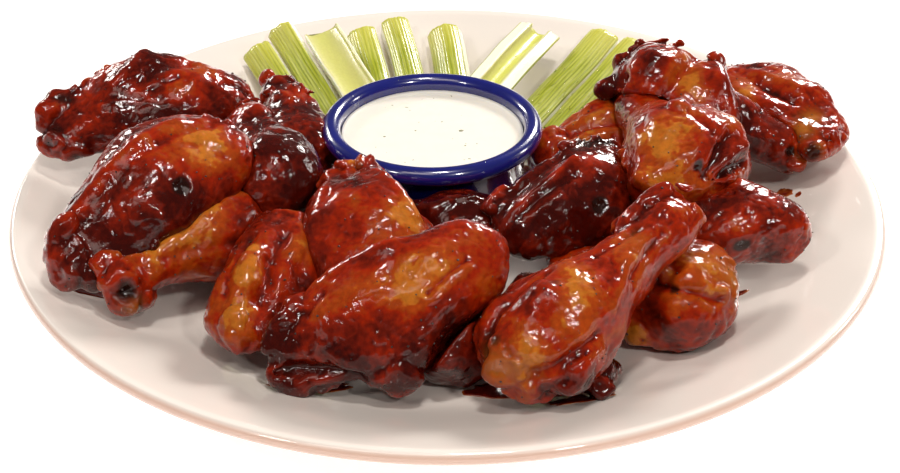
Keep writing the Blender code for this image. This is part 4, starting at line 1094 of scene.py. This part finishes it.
def grow_lobe(bm, centre, normal, size, turn=None):
    """Adds an egg-shaped body, its depth along the normal and its length along the piece."""
    z_axis = Vector(normal).normalized()
    x_axis = (Vector((1, 0, 0)) - z_axis.x * z_axis)
    x_axis = x_axis.normalized() if x_axis.length > 0.05 else z_axis.orthogonal().normalized()
    basis = Matrix((x_axis, z_axis.cross(x_axis), z_axis)).transposed().to_4x4()
    lay = Matrix.Translation(Vector(centre)) @ basis @ (turn or Matrix())
    lobe = bmesh.ops.create_icosphere(bm, subdivisions=3, radius=1.0)
    for vert in lobe["verts"]:
        vert.co *= 1 + 0.42 * noise.noise(vert.co * 1.15 + Vector(centre) * 0.37)
    bmesh.ops.transform(bm, verts=lobe["verts"], matrix=lay @ Matrix.Diagonal((*size, 1)))


def tear(bm, skin, places, lift, size, draw):
    """Adds a line of small ragged flakes, as torn skin and crisp crumbs leave."""
    stops = [skin.site(place) for place in places]
    for a, b in zip(stops, stops[1:]):
        run = np.linalg.norm(skin.points[b] - skin.points[a])
        count = max(2, int(run / (size * 0.8)))
        for i in range(count):
            t = (i + draw.random()) / count
            middle = skin.points[a] * (1 - t) + skin.points[b] * t
            normal = skin.normals[a] * (1 - t) + skin.normals[b] * t
            middle = middle + normal * lift * draw.uniform(0.2, 1.0)
            middle = middle + np.array([draw.uniform(-0.5, 0.5) * size for _ in range(3)])
            turn = Matrix.Rotation(draw.uniform(0, math.tau), 4, "Z") @ Matrix.Rotation(
                draw.uniform(-0.9, 0.9), 4, "X")
            scale = size * draw.uniform(0.5, 1.1)
            grow_lobe(bm, middle, normal, (scale * 1.5, scale * 0.8, scale * 0.45), turn)


def hollows(mesh, points, normals, rounds):
    """How far each point lies below the average of those round it, in millimetres: creases are positive."""
    edges = np.empty(len(mesh.edges) * 2, dtype=np.int32)
    mesh.edges.foreach_get("vertices", edges)
    a, b = edges.reshape(-1, 2).T
    count = np.bincount(edges, minlength=len(points))[:, None]
    level = points.copy()
    for _ in range(rounds):
        total = np.stack([np.bincount(a, level[b, i], len(points)) + np.bincount(b, level[a, i], len(points))
                          for i in range(3)], axis=1)
        level = total / count
    return np.einsum("ij,ij->i", level - points, normals)


def wing_mesh(name, row, seed):
    """A wing piece from its CAD solid: joint ends, lobes and torn skin grown on, then folds, wrinkles, pimples
    and runs of sauce raised in its surface."""
    tail, head, faces, bow, sway, voxel, thinness, wrinkle, pimple, charred, features = row
    length = (Vector(head) - Vector(tail)).length
    lay = placed(tail, head, faces)
    draw = random.Random(seed)
    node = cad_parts[name]
    bm = bmesh.new()
    bm.from_mesh(node.data)
    bmesh.ops.transform(bm, matrix=lay.inverted() @ node.matrix_world, verts=bm.verts)
    bmesh.ops.remove_doubles(bm, verts=bm.verts, dist=0.002)
    bm.normal_update()
    plump = [vert.co + vert.normal * 0.55 for vert in bm.verts]
    for vert, place in zip(bm.verts, plump):
        vert.co = place
    coarse = modified(bm, ("SUBSURF", {"levels": 2, "render_levels": 2}))
    skin = Skin(coarse, length, bow, sway)
    bm = bmesh.new()
    bm.from_mesh(coarse)
    for kind, *values in features:
        if kind == "knob":
            place, lift, size = values
            site = skin.site(place)
            centre = skin.points[site] + skin.normals[site] * (0.75 * lift - size[2] * 0.52)
            grow_lobe(bm, centre, skin.normals[site], size)
        elif kind == "shred":
            tear(bm, skin, *values, draw)
    body = modified(bm, ("REMESH", {"mode": "VOXEL", "voxel_size": voxel}),
                    ("SMOOTH", {"factor": 0.5, "iterations": 14}))
    bpy.data.meshes.remove(coarse)
    skin = Skin(body, length, bow, sway)
    rise = np.zeros(len(skin.points))
    shift = np.zeros_like(skin.points)
    for kind, *values in features:
        if kind == "lump":
            place, height, radius = values
            near = skin.nearness([place], radius)
            shift += near[:, None] * skin.normals[skin.site(place)] * height
        elif kind == "fold":
            places, height, width = values
            rise += height * skin.nearness(places, width)
    points = skin.points + shift + skin.normals * rise[:, None]
    set_points(body, points)
    points, normals = points_of(body)
    lengthwise = points * np.array((0.42, 1.0, 1.0))
    ends = np.clip(np.exp(-((skin.along - 0.02) / 0.16) ** 2) + np.exp(-((skin.along - 1.0) / 0.12) ** 2), 0, 1)
    crumple = 1 - 2 * np.abs(waves(lengthwise, 5.0, seed + 1)) ** 0.8
    crease = 1 - 2 * np.abs(waves(lengthwise + 0.8 * waves(points, 4, seed)[:, None], 2.6, seed + 2)) ** 0.8
    patch = step_up(waves(points, 13, seed + 3), -0.35, 0.25)
    worn = np.clip(wrinkle * (0.35 + 0.5 * ends + 0.4 * patch), 0, 1.3)
    run = waves(points, 8.5, seed + 4) + 0.5 * waves(points, 3.6, seed + 5)
    sauce = step_up(run, -0.12, 0.12)
    relief = 0.9 * waves(points, 14, seed + 6) + 0.28 * waves(points, 5.6, seed + 7)
    relief += worn * (0.28 * crumple + 0.16 * crease) * (1 - 0.45 * sauce)
    relief += 0.10 * waves(points, 2.8, seed + 12) + 0.07 * waves(points, 1.7, seed + 8)
    relief += pimple * 0.18 * pimples(points, 1.9, seed) * (1 - 0.6 * sauce) + 0.26 * sauce
    points = points + normals * relief[:, None]
    set_points(body, points)
    points, normals = points_of(body)
    crease_depth_for_shade = hollows(body, points, normals, 6)
    cook_and_shade = {"thin": thinness - 0.13 + 0.30 * waves(points, 13, seed + 9) + 0.13 * waves(points, 5, seed + 10),
            "char": charred * (0.42 * waves(points, 7, seed + 11) + 0.20 * ends),
            "bone": np.zeros(len(points)), "thick": np.zeros(len(points))}
    for kind, *values in features:
        if kind in cook_and_shade:
            place, radius, strength = values
            cook_and_shade[kind] += strength * skin.nearness([place], radius)
    # Painted shade: faces turned down and creases take a deeper-sauce colour, and creases a touch of black as
    # well; in the creases the sauce also really pools.
    down = np.clip(-normals @ np.array(lay.to_3x3().inverted() @ Vector((0, 0, 1)).normalized()) / 1000, 0, 1)
    thin = cook_and_shade["thin"] - 0.36 * cook_and_shade["thick"] - 0.12 * sauce - np.clip(crease_depth_for_shade * 1.5, -0.2, 0.4) - 0.15 * down
    char = cook_and_shade["char"] + np.clip(crease_depth_for_shade * 0.4, 0, 0.15)
    layers = np.stack((thin, char, cook_and_shade["bone"], np.ones(len(points))), axis=1)
    paint(body, "cook_and_shade", np.clip(layers, 0, 1))
    body.transform(lay)
    body.update()
    return body


class PLATTER_OT_wings(bpy.types.Operator):
    """Shapes and sauces every wing piece, from its solid"""

    bl_idname = "platter.wings"
    bl_label = "Wings"

    def execute(self, context):
        noise.seed_set(5)
        sauced = sauce_material(context.scene.platter_sauce)
        for seed, (name, row) in enumerate(WINGS.items()):
            finish_piece(name + "_sauced", wing_mesh(name, row, seed), sauced, "glazed_chicken", name)
        return {"FINISHED"}


def smear_mesh(rows):
    """Thin pools of sauce that follow the china, each a dome with a wandering edge."""
    whole = bmesh.new()
    for (x, y), half_length, half_width, degrees, deep, seed in rows:
        bm = bmesh.new()
        bmesh.ops.create_grid(bm, x_segments=36, y_segments=28, size=1.0)
        turn = math.radians(degrees)
        depths = {}
        for vert in bm.verts:
            u, v = vert.co.x, vert.co.y
            away = math.hypot(u, v) / max(abs(u), abs(v), 1e-6) * max(abs(u), abs(v))
            square = max(abs(u), abs(v))
            angle = math.atan2(v, u)
            edge = 1 + 0.30 * noise.noise(Vector((math.cos(angle) * 1.6, math.sin(angle) * 1.6, seed * 3.1)))
            edge += 0.16 * noise.noise(Vector((math.cos(angle) * 4, math.sin(angle) * 4, seed * 1.7)))
            u, v = math.cos(angle) * square * edge * half_length, math.sin(angle) * square * edge * half_width
            px, py = x + u * math.cos(turn) - v * math.sin(turn), y + u * math.sin(turn) + v * math.cos(turn)
            depths[vert] = max(0.0, 1 - square ** 2.5) ** 0.5
            vert.co = Vector((px, py, plate_z(math.hypot(px, py)) + 0.04 + 0.55 * deep * depths[vert])) * MM
        skirt = bmesh.ops.solidify(bm, geom=bm.faces[:], thickness=0.02 * MM)
        mesh = to_mesh(bm)
        whole.from_mesh(mesh)
        bpy.data.meshes.remove(mesh)
    mesh = to_mesh(whole)
    points, normals = points_of(mesh)
    level = np.array([plate_z(math.hypot(px, py)) for px, py in points[:, :2] / MM])
    paint(mesh, "depth", np.clip((points[:, 2] / MM - level) / 0.55, 0, 1))
    return mesh


class PLATTER_OT_sauce(bpy.types.Operator):
    """Adds pools of sauce on the plate, two of them dark as painted shade beside the cup, pepper specks and
    scorched crumbs
    """

    bl_idname = "platter.sauce"
    bl_label = "Pools and specks"

    def execute(self, context):
        noise.seed_set(5)
        settings = context.scene.platter_sauce
        finish_piece("sauce_pools_and_shade", smear_mesh(SMEARS_AND_SHADE_POOLS), smear_material(), "glazed_chicken")
        draw = random.Random(21)
        specks, crumbs = bmesh.new(), bmesh.new()
        for name in WINGS:
            mesh = bpy.data.objects[name + "_sauced"].data
            points, normals = points_of(mesh)
            cook_and_shade = np.empty(len(points) * 4, dtype=np.float32)
            mesh.attributes["cook_and_shade"].data.foreach_get("color", cook_and_shade)
            char = cook_and_shade.reshape(-1, 4)[:, 1]
            upper = np.flatnonzero(normals[:, 2] > -0.2)
            scorched = np.flatnonzero((char > 0.75) & (normals[:, 2] > -0.3))
            jobs = [(specks, upper, settings.specks // len(WINGS), (0.16, 0.40)),
                    (crumbs, scorched, min(16, len(scorched) // 60), (0.25, 0.6))]
            for bm, choice, count, (small, large) in jobs:
                for _ in range(count if len(choice) else 0):
                    index = choice[draw.randrange(len(choice))]
                    size = draw.uniform(small, large) * MM
                    turn = Matrix.Rotation(draw.uniform(0, math.tau), 4, "Z") @ Matrix.Rotation(
                        draw.uniform(0, math.pi), 4, "X")
                    spot = Vector(points[index]) + Vector(normals[index]) * size * 0.25
                    shape = Matrix.Diagonal((size * draw.uniform(0.7, 1.5), size, size * draw.uniform(0.5, 1), 1))
                    bmesh.ops.create_icosphere(bm, subdivisions=1, radius=1.0,
                                               matrix=Matrix.Translation(spot) @ turn @ shape)
        pepper = speck_material("black_pepper", "#120c0b", "#2a1a14", 0.6, 0.5)
        scorch = speck_material("scorched_crumbs", "#1a0c09", "#45190f", 1.2, 0.4)
        finish_piece("pepper_specks", to_mesh(specks), pepper, "glazed_chicken")
        finish_piece("scorched_crumbs", to_mesh(crumbs), scorch, "glazed_chicken")
        return {"FINISHED"}


# ---------------------------------------------------------------- stage

# Lights: name, way to it from the platter, distance in metres, width and height, brightness, colour
LIGHTS = (
    ("key_from_back_right", (0.40, 0.80, 0.50), 1.25, 0.28, 0.22, 60.0, "#fffaf4"),
    ("strip_from_back_left", (-0.62, 0.72, 0.42), 1.2, 0.34, 0.13, 32.0, "#fffaf4"),
    ("window_from_right", (0.85, 0.30, 0.42), 1.2, 0.16, 0.22, 16.0, "#fffaf4"),
    ("softbox_above_front", (-0.16, -0.42, 0.90), 1.0, 0.42, 0.30, 3.4, "#fff0e6"),
    ("lamp_overhead", (0.08, -0.16, 1.0), 1.0, 0.12, 0.12, 84.0, "#fffaf4"),
    ("fill_from_front_left", (-0.60, -0.60, 0.85), 1.4, 0.15, 0.15, 40.0, "#fffaf4"),
    ("fill_from_front_right", (0.42, -0.70, 0.75), 1.4, 0.12, 0.12, 96.0, "#fffaf4"),
)
CAMERA_PLACE = (0.00084, -0.50509, 0.31268)
CAMERA_TILT = 90 - 31.66
SENSOR_WIDTH = 36.0


class PLATTER_OT_stage(bpy.types.Operator):
    """Lays the pale floor, hangs the studio lights and sets up the camera"""

    bl_idname = "platter.stage"
    bl_label = "Stage"

    def execute(self, context):
        settings = context.scene.platter_stage
        scene = context.scene
        bm = bmesh.new()
        bmesh.ops.create_circle(bm, cap_ends=True, segments=96, radius=4.0)
        material, tree, shader, place = start_material("white_paper", {
            "Roughness": 0.9, "Emission Strength": 0.45, "Emission Color": (1, 1, 1, 1)})
        fibre = add_node(tree, "ShaderNodeTexNoise", {"Vector": place, "Scale": per(60), "Detail": 2.0})
        colour = add_node(tree, "ShaderNodeMix", {
            0: fibre.outputs["Fac"], 6: srgb([c * 0.995 for c in settings.floor]), 7: srgb(settings.floor)},
            data_type="RGBA")
        tree.links.new(colour.outputs[2], shader.inputs["Base Color"])
        floor_mesh = to_mesh(bm)
        floor_mesh.materials.append(material)
        floor = bpy.data.objects.new("paper_floor", floor_mesh)
        scene.collection.objects.link(floor)
        for name, way, distance, width, height, brightness, colour in LIGHTS:
            lamp = bpy.data.lights.new(name, "AREA")
            lamp.shape = "RECTANGLE"
            lamp.size, lamp.size_y = width, height
            lamp.energy = brightness * math.pi * width * height
            lamp.color = srgb(colour)[:3]
            light = bpy.data.objects.new(name, lamp)
            toward = Vector(way).normalized()
            light.location = toward * distance
            light.rotation_euler = toward.to_track_quat("Z", "Y").to_euler()
            scene.collection.objects.link(light)
        world = bpy.data.worlds.new("studio")
        world.use_nodes = True
        world.node_tree.nodes["Background"].inputs["Color"].default_value = srgb("#fff6f0")
        world.node_tree.nodes["Background"].inputs["Strength"].default_value = 0.10
        scene.world = world
        lens = bpy.data.cameras.new("camera")
        lens.lens, lens.sensor_width = settings.focal, SENSOR_WIDTH
        lens.clip_start = 0.02
        camera = bpy.data.objects.new("camera", lens)
        camera.location = CAMERA_PLACE
        camera.rotation_euler = (math.radians(CAMERA_TILT), 0, 0)
        scene.collection.objects.link(camera)
        scene.camera = camera
        scene.view_settings.view_transform = "Standard"
        return {"FINISHED"}


class PLATTER_PT_sidebar(bpy.types.Panel):
    """Lists the platter's pieces"""

    bl_label = "Platter"
    bl_idname = "PLATTER_PT_sidebar"
    bl_space_type = "VIEW_3D"
    bl_region_type = "UI"
    bl_category = "Platter"

    def draw(self, context):
        for operator in OPERATORS:
            self.layout.operator(operator.bl_idname)
        for name, group in GROUPS.items():
            box = self.layout.box()
            for field in group.__annotations__:
                box.prop(getattr(context.scene, name), field)


OPERATORS = (PLATTER_OT_plate, PLATTER_OT_cup, PLATTER_OT_celery, PLATTER_OT_wings, PLATTER_OT_sauce,
             PLATTER_OT_stage)


def register():
    for cls in (*GROUPS.values(), *OPERATORS, PLATTER_PT_sidebar):
        bpy.utils.register_class(cls)
    for name, group in GROUPS.items():
        setattr(bpy.types.Scene, name, bpy.props.PointerProperty(type=group))


def unregister():
    for name in GROUPS:
        delattr(bpy.types.Scene, name)
    for cls in (PLATTER_PT_sidebar, *reversed(OPERATORS), *reversed(GROUPS.values())):
        bpy.utils.unregister_class(cls)


def main():
    register()
    bpy.ops.platter.plate()
    bpy.ops.platter.cup()
    bpy.ops.platter.celery()
    bpy.ops.platter.wings()
    bpy.ops.platter.sauce()
    bpy.ops.platter.stage()


if __name__ == "__main__":
    main()
